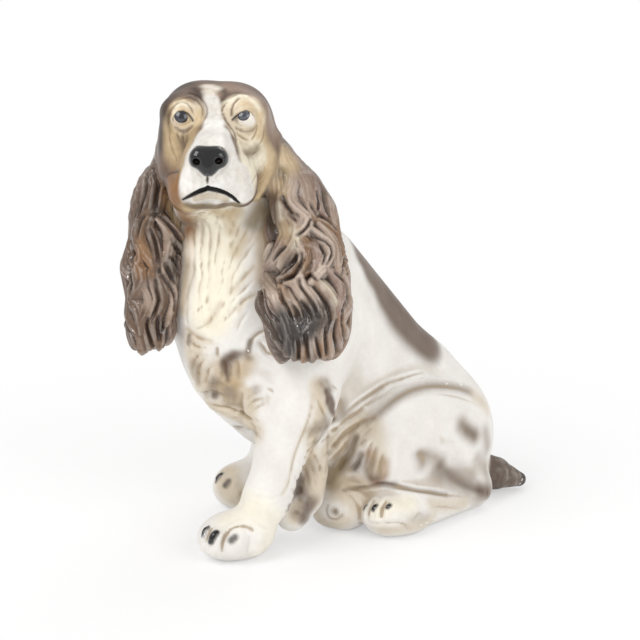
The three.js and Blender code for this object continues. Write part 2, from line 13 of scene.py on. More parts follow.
import bpy
import numpy as np
import openvdb
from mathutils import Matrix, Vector

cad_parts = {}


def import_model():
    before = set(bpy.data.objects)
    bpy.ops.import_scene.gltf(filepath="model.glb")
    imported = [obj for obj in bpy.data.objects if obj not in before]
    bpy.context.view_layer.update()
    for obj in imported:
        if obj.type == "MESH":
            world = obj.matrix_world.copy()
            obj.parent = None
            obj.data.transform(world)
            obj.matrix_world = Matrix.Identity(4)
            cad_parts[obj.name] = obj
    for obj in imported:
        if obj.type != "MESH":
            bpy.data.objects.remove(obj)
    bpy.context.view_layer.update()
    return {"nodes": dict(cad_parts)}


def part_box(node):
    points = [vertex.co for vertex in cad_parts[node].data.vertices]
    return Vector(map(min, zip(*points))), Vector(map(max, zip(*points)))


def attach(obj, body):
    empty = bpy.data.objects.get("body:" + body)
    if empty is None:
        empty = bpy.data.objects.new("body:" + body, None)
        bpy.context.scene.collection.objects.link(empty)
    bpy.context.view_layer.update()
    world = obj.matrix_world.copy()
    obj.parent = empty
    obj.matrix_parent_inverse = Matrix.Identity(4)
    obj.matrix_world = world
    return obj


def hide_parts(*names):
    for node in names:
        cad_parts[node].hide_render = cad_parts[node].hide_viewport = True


Array = np.ndarray
Point = tuple[float, float, float]
Span = tuple[float, float]
Rgb = tuple[int, int, int]
Field = Callable[[Array], Array]

FAR = 400.0
TINY = 1e-9
PER_METRE = 1000.0
LOG = logging.getLogger("spaniel")


def light(rgb: Rgb) -> Array:
    """A colour as it looks, turned into light by the sRGB curve."""
    c = np.array(rgb) / 255.0
    return np.where(c <= 0.04045, c / 12.92, ((c + 0.055) / 1.055) ** 2.4)


def soft_union(a: Array, b: Array, blend: Array | float) -> Array:
    """Joins two distance fields with a rounded seam.

    Args:
        a: First distances.
        b: Second distances.
        blend: How far from the seam the rounding reaches.

    Returns:
        Distances of the joined form.
    """
    overlap = np.maximum(blend - np.abs(a - b), 0.0) / blend
    return np.minimum(a, b) - overlap * overlap * blend / 4.0


def ease(low: float, high: float, value: Array) -> Array:
    """Rises smoothly from 0 at low to 1 at high."""
    share = np.clip((value - low) / (high - low), 0.0, 1.0)
    return share * share * (3.0 - 2.0 * share)


def turn_x(degrees: float) -> Array:
    """Rotation about X."""
    c, s = math.cos(math.radians(degrees)), math.sin(math.radians(degrees))
    return np.array([[1.0, 0.0, 0.0], [0.0, c, -s], [0.0, s, c]])


def turn_z(degrees: float) -> Array:
    """Rotation about Z."""
    c, s = math.cos(math.radians(degrees)), math.sin(math.radians(degrees))
    return np.array([[c, -s, 0.0], [s, c, 0.0], [0.0, 0.0, 1.0]])


@dataclass(frozen=True)
class Ball:
    """An egg of clay, pressed on or, as a cut, pressed in."""

    centre: Point
    radii: Point
    blend: float
    cut: bool = False

    def box(self) -> tuple[Array, Array]:
        """Lowest and highest corners."""
        return np.subtract(self.centre, self.radii), np.add(self.centre, self.radii)

    def distance(self, points: Array) -> Array:
        """Distance of each point from the form, negative inside."""
        unit = (points - np.array(self.centre)) / np.array(self.radii)
        reach = np.sqrt((unit * unit).sum(1))
        slope = np.sqrt(((unit / np.array(self.radii)) ** 2).sum(1)) + TINY
        return reach * (reach - 1.0) / slope


@dataclass(frozen=True)
class Lock:
    """A run of clay through points, with its own radius at each, broadened sideways and trimmed by planes."""

    points: Sequence[Point]
    radii: Sequence[float]
    blend: float
    breadth: float = 1.0
    cut: bool = False
    trims: Sequence[tuple[Point, Point]] = ()

    TRIM_BLEND: ClassVar[float] = 10.0

    def box(self) -> tuple[Array, Array]:
        """Lowest and highest corners."""
        spread = np.array([self.breadth, 1.0, 1.0]) * max(self.radii)
        return np.min(self.points, 0) - spread, np.max(self.points, 0) + spread

    def distance(self, points: Array) -> Array:
        """Distance of each point from the form, negative inside."""
        squeeze = np.array([self.breadth, 1.0, 1.0])
        near = np.full(len(points), FAR)
        here = points / squeeze
        runs = np.array(self.points, float) / squeeze
        for start, end, r0, r1 in zip(runs, runs[1:], self.radii, self.radii[1:]):
            step = end - start
            along = np.clip((here - start) @ step / (step @ step), 0.0, 1.0)
            off = here - start - along[:, None] * step
            near = np.minimum(near, np.sqrt((off * off).sum(1)) - (r0 + (r1 - r0) * along))
        for place, outward in self.trims:
            near = -soft_union(-near, -(points - np.array(place)) @ np.array(outward), self.TRIM_BLEND)
        return near


Form = Ball | Lock


def limb(start: Point, start_radius: float, end: Point, end_radius: float, blend: float) -> Lock:
    """A round limb that tapers between two radii."""
    return Lock((start, end), (start_radius, end_radius), blend)


def both(make: Callable[[float], Form]) -> list[Form]:
    """The same form on the left and on the right."""
    return [make(1.0), make(-1.0)]


class Clay:
    """Forms pressed together in order."""

    MARGIN = 18.0

    def __init__(self, forms: Iterable[Form]) -> None:
        """Keeps each form with the box in which it counts."""
        self.forms = []
        for form in forms:
            low, high = form.box()
            reach = form.blend + self.MARGIN
            self.forms.append((form, low - reach, high + reach))

    def distance(self, points: Array) -> Array:
        """Distance of each point from the clay, FAR well outside it."""
        near = np.full(len(points), FAR)
        for form, low, high in self.forms:
            here = np.flatnonzero(((points > low) & (points < high)).all(1))
            if not len(here):
                continue
            own = form.distance(points[here])
            if form.cut:
                near[here] = -soft_union(-near[here], own, form.blend)
            else:
                near[here] = soft_union(near[here], own, form.blend)
        return near


class Noise:
    """Smooth seeded noise from -1 to 1."""

    SEED = 7
    SIZE = 4096
    PRIMES = np.array([73856093, 19349663, 83492791])
    LAYER_SHIFT = 17.3
    TABLE = np.random.default_rng(SEED).random(SIZE) * 2.0 - 1.0

    @classmethod
    def at(cls, points: Array) -> Array:
        """Noise at points whose lattice is one unit wide."""
        base = np.floor(points).astype(np.int64)
        part = ease(0.0, 1.0, points - base)
        total = np.zeros(len(points))
        for corner in range(8):
            step = np.array([corner & 1, corner >> 1 & 1, corner >> 2 & 1])
            key = np.bitwise_xor.reduce((base + step) * cls.PRIMES, axis=1) & (cls.SIZE - 1)
            total += cls.TABLE[key] * np.where(step, part, 1.0 - part).prod(1)
        return total

    @classmethod
    def layered(cls, points: Array, layers: int) -> Array:
        """Noise with finer layers added at half the strength each."""
        return sum(cls.at(points * 2.0**n + cls.LAYER_SHIFT * n) * 0.5**n for n in range(layers))


class Sheet(Enum):
    """Drawing sheets: left and top edge in the reference view, and how much it is enlarged."""

    WHOLE = (0.0, 0.0, 1.0)
    HEAD = (145.0, 72.0, 10.453)
    LEFT_EAR = (250.0, 140.0, 6.673)
    RIGHT_EAR = (110.0, 140.0, 7.125)
    CHEST = (180.0, 320.0, 6.4)
    HAUNCH = (300.0, 360.0, 6.817)

    def read(self, drawn: str) -> Array:
        """Picture coordinates of a run that is drawn as "x,y x,y" on the sheet."""
        left, top, scale = self.value
        run = np.array([[float(v) for v in spot.split(",")] for spot in drawn.split()])
        return run / scale + (left, top)


@dataclass(frozen=True)
class Viewpoint:
    """The reference view: where the camera stands, in the sculptor's frame, and how its sight is followed."""

    azimuth: float = 55.0
    elevation: float = 16.0
    distance: float = 1900.0
    target: Point = (45.0, 0.0, 225.0)
    sensor: float = 36.0
    lens: float = 106.875
    picture: float = 640.0
    clip: Span = (0.05, 60.0)
    depth: float = 340.0
    steps: int = 96
    pace: float = 0.75
    step_span: Span = (0.1, 11.0)
    touch: float = 0.15

    def axes(self) -> tuple[Array, Array, Array]:
        """Unit vectors backwards, to the right and up, as the camera sees them."""
        a, e = math.radians(self.azimuth), math.radians(self.elevation)
        back = np.array([math.sin(a) * math.cos(e), -math.cos(a) * math.cos(e), math.sin(e)])
        right = np.array([math.cos(a), math.sin(a), 0.0])
        return back, right, np.cross(back, right)

    def land(self, pixels: Array, clay: Field) -> Array:
        """Carries picture points along the line of sight on to the clay.

        Args:
            pixels: Picture coordinates, one row each.
            clay: Distance field that they land on.

        Returns:
            Points on the clay, or where the line passes closest to it.
        """
        back, right, up = self.axes()
        eye = np.array(self.target) + back * self.distance
        spread = (pixels - self.picture / 2.0) / self.picture * self.sensor / self.lens
        sight = -back + spread[:, :1] * right - spread[:, 1:] * up
        sight /= np.sqrt((sight * sight).sum(1))[:, None]
        reach = np.full(len(pixels), self.distance - self.depth)
        best, found = np.full(len(pixels), FAR), reach.copy()
        for _ in range(self.steps):
            off = clay(eye + sight * reach[:, None])
            closer = off < best
            best[closer], found[closer] = off[closer], reach[closer]
            reach = reach + np.where(best < self.touch, 0.0, np.clip(off * self.pace, *self.step_span))
        return eye + sight * found[:, None]

    def stand_camera(self, shift: Array) -> None:
        """Makes the camera at this view, in metres."""
        back = self.axes()[0]
        data = bpy.data.cameras.new("camera")
        data.sensor_width, data.lens = self.sensor, self.lens
        data.clip_start, data.clip_end = self.clip
        camera = bpy.data.objects.new("camera", data)
        camera.location = (np.array(self.target) + back * self.distance + shift) / PER_METRE
        camera.rotation_mode = "QUATERNION"
        camera.rotation_quaternion = Vector(-back).to_track_quat("-Z", "Y")
        bpy.context.scene.collection.objects.link(camera)
        bpy.context.scene.camera = camera


VIEW = Viewpoint()


def land_all(runs: Sequence[Array], clay: Field) -> list[Array]:
    """Lands many drawn runs at once."""
    landed = VIEW.land(np.vstack(runs), clay)
    return np.split(landed, np.cumsum([len(run) for run in runs])[:-1])


def slope(clay: Field, points: Array, step: float = 0.4) -> Array:
    """Unit normals of the clay near the points."""
    rise = np.stack([clay(points + axis) - clay(points - axis) for axis in np.eye(3) * step], 1)
    return rise / (np.sqrt((rise * rise).sum(1))[:, None] + TINY)


def settle_on(clay: Field, points: Array, rounds: int = 4, longest: float = 6.0) -> Array:
    """Points from near the clay, moved on to it in rounds, by no more than the longest step in each."""
    for _ in range(rounds):
        points = points - slope(clay, points) * np.clip(clay(points), -longest, longest)[:, None]
    return points


def eased_run(points: Array, spacing: float = 4.0) -> Array:
    """Draws a smooth curve through points.

    Args:
        points: Points that it goes through, one row each.
        spacing: About how far apart its own points are.

    Returns:
        The points of the curve.
    """
    if len(points) < 3:
        return points
    ends = np.vstack([2 * points[0] - points[1], points, 2 * points[-1] - points[-2]])
    curve = []
    for a, b, c, d in zip(ends, ends[1:], ends[2:], ends[3:]):
        count = max(int(np.linalg.norm(c - b) / spacing), 1)
        t = (np.arange(count) / count)[:, None]
        bend = 2 * a - 5 * b + 4 * c - d
        twist = 3 * b - a - 3 * c + d
        curve.append(0.5 * (2 * b + (c - a) * t + bend * t**2 + twist * t**3))
    return np.vstack(curve + [points[-1:]])


@dataclass
class Trace:
    """Skin points near a run: which they are, how far off, how far along it, and on which side."""

    index: Array
    distance: Array
    along: Array
    side: Array
    length: float


def trace(run: Array, points: Array, normals: Array, reach: float) -> Trace:
    """Measures skin points from a run.

    Args:
        run: Points of the run.
        points: Skin points.
        normals: Skin normals, which give the sense of the side.
        reach: Farthest distance that counts.

    Returns:
        The measures of the skin points within reach.
    """
    near = np.flatnonzero(((points > run.min(0) - reach) & (points < run.max(0) + reach)).all(1))
    here = points[near]
    steps = np.diff(run, axis=0)
    sizes = np.sqrt((steps * steps).sum(1)) + TINY
    starts = np.concatenate([[0.0], np.cumsum(sizes)])
    best, along, piece = np.full(len(near), np.inf), np.zeros(len(near)), np.zeros(len(near), int)
    for n, (start, step, size) in enumerate(zip(run, steps, sizes)):
        share = np.clip((here - start) @ step / (size * size), 0.0, 1.0)
        off = here - start - share[:, None] * step
        gap = (off * off).sum(1)
        closer = gap < best
        best[closer], piece[closer] = gap[closer], n
        along[closer] = starts[n] + share[closer] * size
    keep = best < reach * reach
    near, along, piece, best = near[keep], along[keep], piece[keep], best[keep]
    across = np.cross(steps[piece] / sizes[piece][:, None], normals[near])
    side = ((points[near] - run[piece]) * across).sum(1)
    return Trace(near, np.sqrt(best), along, side, starts[-1])


class Paint(Enum):
    """Paints of the statue, as they look in plain light."""

    IVORY = (239, 236, 231)
    WHITE = (241, 239, 235)
    CREAM = (250, 243, 222)
    BUFF = (216, 203, 182)
    SAND = (222, 199, 160)
    PALE_SAND = (238, 224, 200)
    TAN = (196, 172, 134)
    OLIVE = (132, 115, 86)
    OCHRE = (150, 108, 66)
    UMBER = (104, 84, 70)
    SMOKE = (150, 136, 122)
    PATCH = (124, 109, 97)
    CAP = (122, 103, 90)
    CAP_DARK = (70, 56, 48)
    EAR_PALE = (188, 169, 154)
    EAR_TAUPE = (162, 140, 123)
    EAR_ROSE = (144, 120, 107)
    EAR_BROWN = (104, 82, 66)
    EAR_OCHRE = (132, 102, 74)
    BLAZE = (240, 232, 220)
    SOOT = (58, 53, 52)
    TAIL = (104, 90, 80)
    BLACK = (17, 17, 19)
    LIP = (206, 195, 177)
    GAP = (20, 16, 14)

    @property
    def linear(self) -> Array:
        """The colour as light."""
        return light(self.value)


class Part(Enum):
    """Castings that the skin is divided into."""

    TORSO = "torso_shell"
    LEFT_FORELEG = "left_foreleg"
    RIGHT_FORELEG = "right_foreleg"
    LEFT_FOOT = "left_hind_foot"
    RIGHT_PAW = "right_hind_paw"
    TAIL = "tail"
    HEAD = "head_shell"
    LEFT_EAR = "left_ear"
    RIGHT_EAR = "right_ear"

    @property
    def number(self) -> int:
        """Place in this list, by which the faces of a skin are told apart."""
        return list(Part).index(self)


@dataclass(frozen=True)
class Mark:
    """A tool mark: a groove with raised lips, or a ridge where the height is above 0."""

    width: float
    height: float
    run: Array


def marks(sheet: Sheet, *rows: tuple) -> list[Mark]:
    """Tool marks on a sheet, from rows of width, height and the runs drawn with them."""
    return [Mark(width, height, sheet.read(run)) for width, height, *runs in rows for run in runs]


@dataclass(frozen=True)
class Spray:
    """A sprayed patch of paint along a run, soft at its edge."""

    paint: Paint
    radius: float
    soft: float
    strength: float
    run: Array


def sprays(sheet: Sheet, *rows: tuple) -> list[Spray]:
    """Sprays on a sheet, from rows of paint, radius, softness, strength and the runs drawn with them."""
    made = []
    for paint, radius, soft, strength, *runs in rows:
        made += [Spray(paint, radius, soft, strength, sheet.read(run)) for run in runs]
    return made


@dataclass(frozen=True)
class Comb:
    """Combed hair over a patch: which way it lies, how wide its strands are and how far they stand out."""

    flow: Point
    strand: float
    height: float
    radius: float
    stretch: float
    wave: float
    run: Array


class Skin:
    """A meshed clay surface with tool marks and paint on its points."""

    # Tool marks, in widths of the mark: how far they reach, and their raised lips.
    MARK_REACH = 3.2
    LIP_HEIGHT = 0.4
    LIP_PLACE = 1.9
    # The part of a mark over which an end fades, and how much of it is left there.
    MARK_END = 0.25
    MARK_LEFT = 0.35
    # Combed hair: the axis that gives its sideways sense, its sway and its strands.
    COMB_AXIS = (0.3, 0.9, 0.3)
    SWAY_LENGTH = 14.0
    SWAY_PATCH = 40.0
    SWAY_SHIFT = 2.0
    STRAND_DEPTH = 2.2
    STRAND_LAYERS = 2
    COMB_CORE = 0.45
    # Hollows: rounds of smoothing that they are measured from, and how much each counts.
    FINE_ROUNDS = 6
    FINE_SHARE = 1.2
    BROAD_ROUNDS = 40
    BROAD_SHARE = 0.4

    def __init__(self, points: Array, quads: Array, paint: Paint) -> None:
        """Starts plain, in one paint."""
        self.points, self.quads = points, quads
        self.colour = np.tile(paint.linear, (len(points), 1))
        self.rise = np.zeros(len(points))
        self.gloss = np.zeros(len(points))
        self.wear = np.zeros(len(points))
        self.hollow = np.zeros(len(points))
        self.settle()

    def settle(self) -> None:
        """Works out the normals again."""
        corner = self.points[self.quads]
        facing = np.repeat(np.cross(corner[:, 2] - corner[:, 0], corner[:, 3] - corner[:, 1]), 4, 0)
        owners = self.quads.ravel()
        total = np.stack([np.bincount(owners, axis, len(self.points)) for axis in facing.T], 1)
        self.normals = total / (np.sqrt((total * total).sum(1))[:, None] + TINY)

    def smoothed(self, values: Array, rounds: int) -> Array:
        """Averages values with those of the neighbours.

        Args:
            values: Values of the skin's points, one row each.
            rounds: How many times they are averaged.

        Returns:
            The smoothed values.
        """
        start = self.quads.ravel()
        end = np.roll(self.quads, -1, 1).ravel()
        size = len(values)
        count = np.bincount(start, minlength=size) + np.bincount(end, minlength=size) + 1.0
        for _ in range(rounds):
            total = [
                axis + np.bincount(start, axis[end], size) + np.bincount(end, axis[start], size)
                for axis in values.T
            ]
            values = np.stack(total, 1) / count[:, None]
        return values

    def mark(self, mark: Mark, run: Array) -> None:
        """Presses a tool mark into the relief."""
        hit = trace(eased_run(run), self.points, self.normals, mark.width * self.MARK_REACH)
        ends = np.minimum(hit.along, hit.length - hit.along) / max(hit.length * self.MARK_END, TINY)
        taper = self.MARK_LEFT + (1.0 - self.MARK_LEFT) * np.clip(ends, 0.0, 1.0)
        away = hit.distance / mark.width
        profile = np.exp(-away * away) - self.LIP_HEIGHT * np.exp(-((away - self.LIP_PLACE) ** 2))
        self.rise[hit.index] += mark.height * taper * profile

    def spray(self, spray: Spray, run: Array, among: Array) -> None:
        """Sprays paint along a run, by a share of its own for each point."""
        hit = trace(eased_run(run), self.points, self.normals, spray.radius + spray.soft)
        fade = ease(spray.radius - spray.soft, spray.radius + spray.soft, hit.distance)
        share = (1.0 - fade) * spray.strength * among[hit.index]
        self.colour[hit.index] += (spray.paint.linear - self.colour[hit.index]) * share[:, None]

    def tint(self, colour: Array, share: Array) -> None:
        """Moves the paint of every point towards a colour by a share."""
        self.colour += (colour - self.colour) * share[:, None]

    def comb(self, comb: Comb, run: Array) -> None:
        """Combs hair into the relief round a run."""
        hit = trace(eased_run(run), self.points, self.normals, comb.radius)
        flow = np.array(comb.flow) / np.linalg.norm(comb.flow)
        here = self.points[hit.index]
        along = here @ flow
        side = np.cross(flow, self.COMB_AXIS)
        shift = self.SWAY_SHIFT * Noise.at(here / self.SWAY_PATCH)
        sway = comb.wave * np.sin(along / self.SWAY_LENGTH + shift)
        spot = here - (along * (1.0 - 1.0 / comb.stretch))[:, None] * flow + sway[:, None] * side
        strand = 1.0 - self.STRAND_DEPTH * np.abs(Noise.layered(spot / comb.strand, self.STRAND_LAYERS))
        fade = ease(comb.radius * self.COMB_CORE, comb.radius, hit.distance)
        self.rise[hit.index] += comb.height * strand * (1.0 - fade)

    def depth(self, rounds: int) -> Array:
        """How deep each point lies below its smoothed neighbourhood."""
        return ((self.smoothed(self.points, rounds) - self.points) * self.normals).sum(1)

    def press(self) -> None:
        """Moves the points by the relief, and finds what lies in hollows and what stands on ridges."""
        self.points = self.points + self.normals * self.rise[:, None]
        self.settle()
        broad = np.clip(self.depth(self.BROAD_ROUNDS), -1.0, 1.0)
        self.hollow = self.depth(self.FINE_ROUNDS) * self.FINE_SHARE + broad * self.BROAD_SHARE


def mesh_clay(clay: Field, low: Point, high: Point, cell: float) -> tuple[Array, Array]:
    """Meshes the surface of the clay. Only blocks of cells whose middle is near it are looked at closely.

    Args:
        clay: Distance field.
        low: Lowest corner of the space that is meshed.
        high: Highest corner of it.
        cell: Size of a mesh cell.

    Returns:
        The points, and the four point numbers of each face, turned outwards.
    """
    block, near_enough, batch = 8, 1.1, 500
    start = np.array(low)
    step = cell * block
    count = np.ceil((np.array(high) - start) / step).astype(int)
    places = [start[k] + step * (np.arange(count[k]) + 0.5) for k in range(3)]
    middles = np.stack(np.meshgrid(*places, indexing="ij"), -1)
    coarse = clay(middles.reshape(-1, 3)).reshape(count)
    values = np.where(coarse > 0.0, step, -step).astype(np.float32)
    for k in range(3):
        values = np.repeat(values, block, k)
    inner = np.stack(np.meshgrid(*[np.arange(block)] * 3, indexing="ij"), -1).reshape(-1, 3) * cell
    near = np.argwhere(np.abs(coarse) < step * near_enough)
    for chunk in np.array_split(near, max(len(near) // batch, 1)):
        spots = start + chunk[:, None, :] * step + inner
        found = clay(spots.reshape(-1, 3)).reshape(len(chunk), block, block, block)
        for (i, j, k), part in zip(chunk * block, found):
            values[i : i + block, j : j + block, k : k + block] = np.clip(part, -step, step)
    grid = openvdb.FloatGrid(step)
    grid.copyFromArray(values)
    points, quads = grid.convertToQuads(0.0)
    return points.astype(float) * cell + start, quads.astype(np.int64)


@dataclass
class Body:
    """Torso, legs, feet and tail, modelled as one mass and then divided into castings."""

    neck_low: Point = (4.0, -48.0, 285.0)
    neck_high: Point = (10.0, -80.0, 385.0)
    sole: Point = (56.0, 26.0, 26.0)
    sole_turn: float = 36.0
    tail_root: Point = (40.0, 182.0, 27.0)
    tail_bend: Point = (62.0, 220.0, 20.0)
    tail_tip: Point = (73.0, 245.0, 11.0)
    # Joint lines between the castings.
    foreleg_cut: float = 140.0
    left_foreleg_back: float = -6.0
    left_foreleg_inner: float = 32.0
    left_foreleg_low: float = 50.0
    left_forepaw_inner: float = 6.0
    left_forepaw_top: float = 70.0
    right_foreleg_back: float = 46.0
    right_foreleg_inner: float = -28.0
    hind_foot_cut: float = 36.0
    hind_foot_inner: float = 64.0
    hind_foot_back: float = 204.0
    hind_paw_cut: float = 46.0
    hind_paw_across: Span = (-34.0, 27.0)
    hind_paw_along: Span = (-90.0, 37.0)
    tail_inner: float = 20.0
    tail_top: float = 90.0
    # The space that is meshed, and what is left open: the base inside its rim, and the neck joint.
    low: Point = (-150.0, -190.0, -6.0)
    high: Point = (150.0, 275.0, 400.0)
    cell: float = 2.0
    base_rim: float = 12.0
    base_skin: float = 0.2
    neck_skin: float = 0.4
    # Where the paint of the tail and of its tip begins, and how softly.
    tail_edge: Span = (1.0, 5.0)
    tail_fade: Span = (192.0, 202.0)
    tip_fade: Span = (236.0, 250.0)

    def forms(self) -> list[Form]:
        """The clay forms, in the order in which they are pressed together."""
        elbow_to_heel = ((64, -30, 130), (63, -26, 105), (62, -22, 72), (60, -26, 46), (58, -44, 30))
        return [
            # Ribcage, rump, chest and neck.
            limb((0, 0, 246), 76, (0, 118, 118), 70, 30),
            Ball((0, 141, 80), (80, 72, 77), 44),
            Ball((0, 136, 24), (80, 74, 66), 30),
            limb((0, -45, 235), 66, (0, -20, 150), 58, 30),
            Ball((0, -72, 208), (58, 50, 80), 36),
            limb(self.neck_low, 62, self.neck_high, 47, 45),
            Ball((2, -86, 250), (48, 42, 82), 30),
            Ball((-28, -95, 265), (32, 32, 56), 24),
            # Shoulders, thighs, belly and knee.
            *both(lambda side: Ball((side * 52, -28, 222), (36, 54, 76), 30)),
            *both(lambda side: Ball((side * 74, 92, 84), (34, 68, 72), 14)),
            *both(lambda side: Ball((side * 56, 156, 73), (42, 54, 64), 30)),
            limb((0, -10, 130), 50, (0, 90, 95), 62, 30),
            Ball((46, 31, 84), (22, 36, 56), 20),
            # Left foreleg, with the hair behind it.
            limb((60, -30, 205), 42, (66, -40, 150), 35, 20),
            limb((66, -42, 160), 32, (65, -77, 62), 21.5, 20),
            limb((65, -78, 60), 21, (59, -93, 27), 22, 14),
            Ball((48, -107, 20), (32, 38, 24), 14),
            Lock(elbow_to_heel, (20, 17, 16, 16, 16), 10),
            # Right foreleg.
            limb((-60, -20, 205), 40, (-64, 8, 150), 34, 20),
            limb((-64, 8, 160), 30, (-60, 18, 60), 23, 20),
            limb((-60, 18, 60), 23, (-59, -6, 26), 21, 14),
            Ball((-61, -28, 22), (27, 32, 25), 14),
            # Left hind foot, then the right one, which shows its sole.
            limb((83, 170, 22), 22, (96, 77, 22), 23, 14),
            Ball((95, 60, 22), (28, 38, 24), 12),
            limb((-80, 168, 24), 24, (0, 62, 24), 24, 14),
            Ball(self.sole, (26, 31, 27), 8),
            Ball((43, 16, 20), (18, 22, 20), 6),
            self.tail(),
        ]

    def tail(self) -> Lock:
        """The tail, from inside the haunch to its tip."""
        return Lock((self.tail_root, self.tail_bend, self.tail_tip), (26, 18, 8), 12)

    def part_of(self, points: Array) -> Array:
        """Divides the body at its joint lines.

        Args:
            points: Points of the body.

        Returns:
            Number of the casting that each point belongs to.
        """
        x, y, z = points.T
        shank = (x > self.left_foreleg_inner) & (z > self.left_foreleg_low) & (z < self.foreleg_cut)
        forepaw = (x > self.left_forepaw_inner) & (z < self.left_forepaw_top)
        left_leg = (y < self.left_foreleg_back) & (shank | forepaw)
        right_leg = (x < self.right_foreleg_inner) & (y < self.right_foreleg_back) & (z < self.foreleg_cut)
        paw = (z < self.hind_paw_cut) & ~left_leg & ~right_leg
        turned = (points - np.array(self.sole)) @ turn_z(self.sole_turn)
        for place, (start, end) in zip(turned.T, (self.hind_paw_across, self.hind_paw_along)):
            paw &= (place > start) & (place < end)
        foot = (x > self.hind_foot_inner) & (y > self.left_foreleg_back) & (y < self.hind_foot_back)
        foot &= (z < self.hind_foot_cut) & ~paw
        tail = (x > self.tail_inner) & (y > self.tail_bend[1]) & (z < self.tail_top)
        parts = (Part.LEFT_FORELEG, Part.RIGHT_FORELEG, Part.LEFT_FOOT, Part.RIGHT_PAW, Part.TAIL)
        found = [left_leg, right_leg, foot, paw, tail]
        return np.select(found, [part.number for part in parts], Part.TORSO.number)


@dataclass
class Head:
    """The head with its ears, turned to the dog's left and lifted a little."""

    spot: Point = (11.0, -97.0, 420.0)
    turn: float = 54.0
    lift: float = 12.0
    blend: float = 20.0
    eye_radius: float = 11.0
    eye_spread: float = 29.5
    eye_depth: float = 41.0
    eye_height: float = 12.0
    # The sloping neck joint: the body's skin ends a gap above it, the head's an overlap below it.
    neck_cut_drop: float = 56.0
    neck_cut_slope: float = 23.0
    neck_gap: float = 0.6
    neck_overlap: float = 3.0
    neck_fade: Span = (4.0, -2.0)
    # The ears, and how they grow from the skull: more softly at the root than below it.
    ear_root_drop: float = 24.0
    ear_drop: float = 197.0
    left_ear_breadth: float = 1.3
    right_ear_breadth: float = 1.2
    ear_blend: float = 2.0
    root_blend: float = 13.0
    root_span: Span = (-78.0, -45.0)
    ear_edge: float = 3.0
    # The space that is meshed.
    low: Point = (-78.0, -202.0, 186.0)
    high: Point = (160.0, 12.0, 482.0)
    cell: float = 1.05

    def __post_init__(self) -> None:
        """Works out how the head stands."""
        self.stand = turn_z(self.turn) @ turn_x(-self.lift)

    def local(self, points: Array) -> Array:
        """Points in the head's own frame: the skull's centre at the origin, the muzzle towards -Y."""
        return (points - np.array(self.spot)) @ self.stand

    def world(self, points: Array) -> Array:
        """Points of the head's frame in the sculptor's frame."""
        return np.asarray(points, float) @ self.stand.T + np.array(self.spot)

    def above_neck(self, points: Array) -> Array:
        """Height of each point above the sloping neck joint."""
        tilt = math.radians(self.neck_cut_slope)
        upward = np.array([0.0, -math.sin(tilt), math.cos(tilt)])
        return (self.local(points) + (0.0, 0.0, self.neck_cut_drop)) @ upward

    def eye_spots(self) -> list[Point]:
        """Centres of the left and the right eye, in the head's frame."""
        return [(side * self.eye_spread, -self.eye_depth, self.eye_height) for side in (1.0, -1.0)]

    def forms(self) -> list[Form]:
        """The plain clay forms of the head, in its own frame."""
        return [
            # Skull, brows and cheeks.
            Ball((1, 10, 1), (51, 58, 48), 10),
            Ball((-18, 8, 11), (36, 50, 38), 8),
            Ball((20, 8, 9), (34, 48, 38), 8),
            *both(lambda side: Ball((side * 29, -28, 18), (22, 20, 16), 14)),
            *both(lambda side: Ball((side * 32, -10, -22), (23, 36, 32), 18)),
            # Muzzle, flews and jaw.
            limb((0, -32, -2), 23, (0, -74, -20), 20, 18),
            Ball((20, -60, -42), (20, 30, 25), 14),
            Ball((27, -52, -55), (13, 26, 15), 12),
            Ball((-13, -61, -42), (17, 30, 25), 14),
            Ball((-19, -54, -54), (11, 25, 14), 12),
            Ball((0, -68, -34), (25, 24, 24), 12),
            limb((0, -60, -60), 11, (0, -5, -50), 28, 10),
        ]

    def nose_forms(self) -> list[Form]:
        """The nose: broad above, with its wings, and narrow below."""
        return [
            Lock(((-9, -92, -23.5), (7, -92, -23.5)), (8.2, 8.2), 3),
            Ball((-1, -92.5, -30), (13, 9, 9.5), 5),
            Ball((-1, -92.5, -36.5), (6.5, 8, 6), 5),
            *both(lambda side: Ball((side * 11 - 1, -91.5, -27), (6.6, 8, 7.6), 3)),
        ]

    def ear_forms(self) -> tuple[Lock, Lock]:
        """The plain clay of the left and the right ear, in the head's frame, their lower edges trimmed."""
        root, tip = -self.ear_root_drop, -self.ear_drop
        left = (
            (50, 6, root), (67, 3, -54), (76, 0, -76), (83, -6, -102),
            (86, -10, -138), (84, -13, -164), (87, -16, tip),
        )
        right = (
            (-45, 10, root), (-55, 12, -52), (-58, 15, -74), (-59, 21, -106),
            (-64, 25, -131), (-64, 28, -160), (-65, 30, tip),
        )
        left_trims = (((119, 0, -208), (0.78, 0.0, -0.62)), ((48, 0, -211), (-0.84, 0.0, -0.54)))
        right_trims = (((-53, 0, -210), (0.62, 0.0, -0.78)), ((-84, 0, -214), (-0.9, 0.0, -0.43)))
        return (
            Lock(left, (20, 26, 28, 26, 30, 34, 30), 14, self.left_ear_breadth, trims=left_trims),
            Lock(right, (13, 18, 19, 21, 23, 19, 19), 14, self.right_ear_breadth, trims=right_trims),
        )


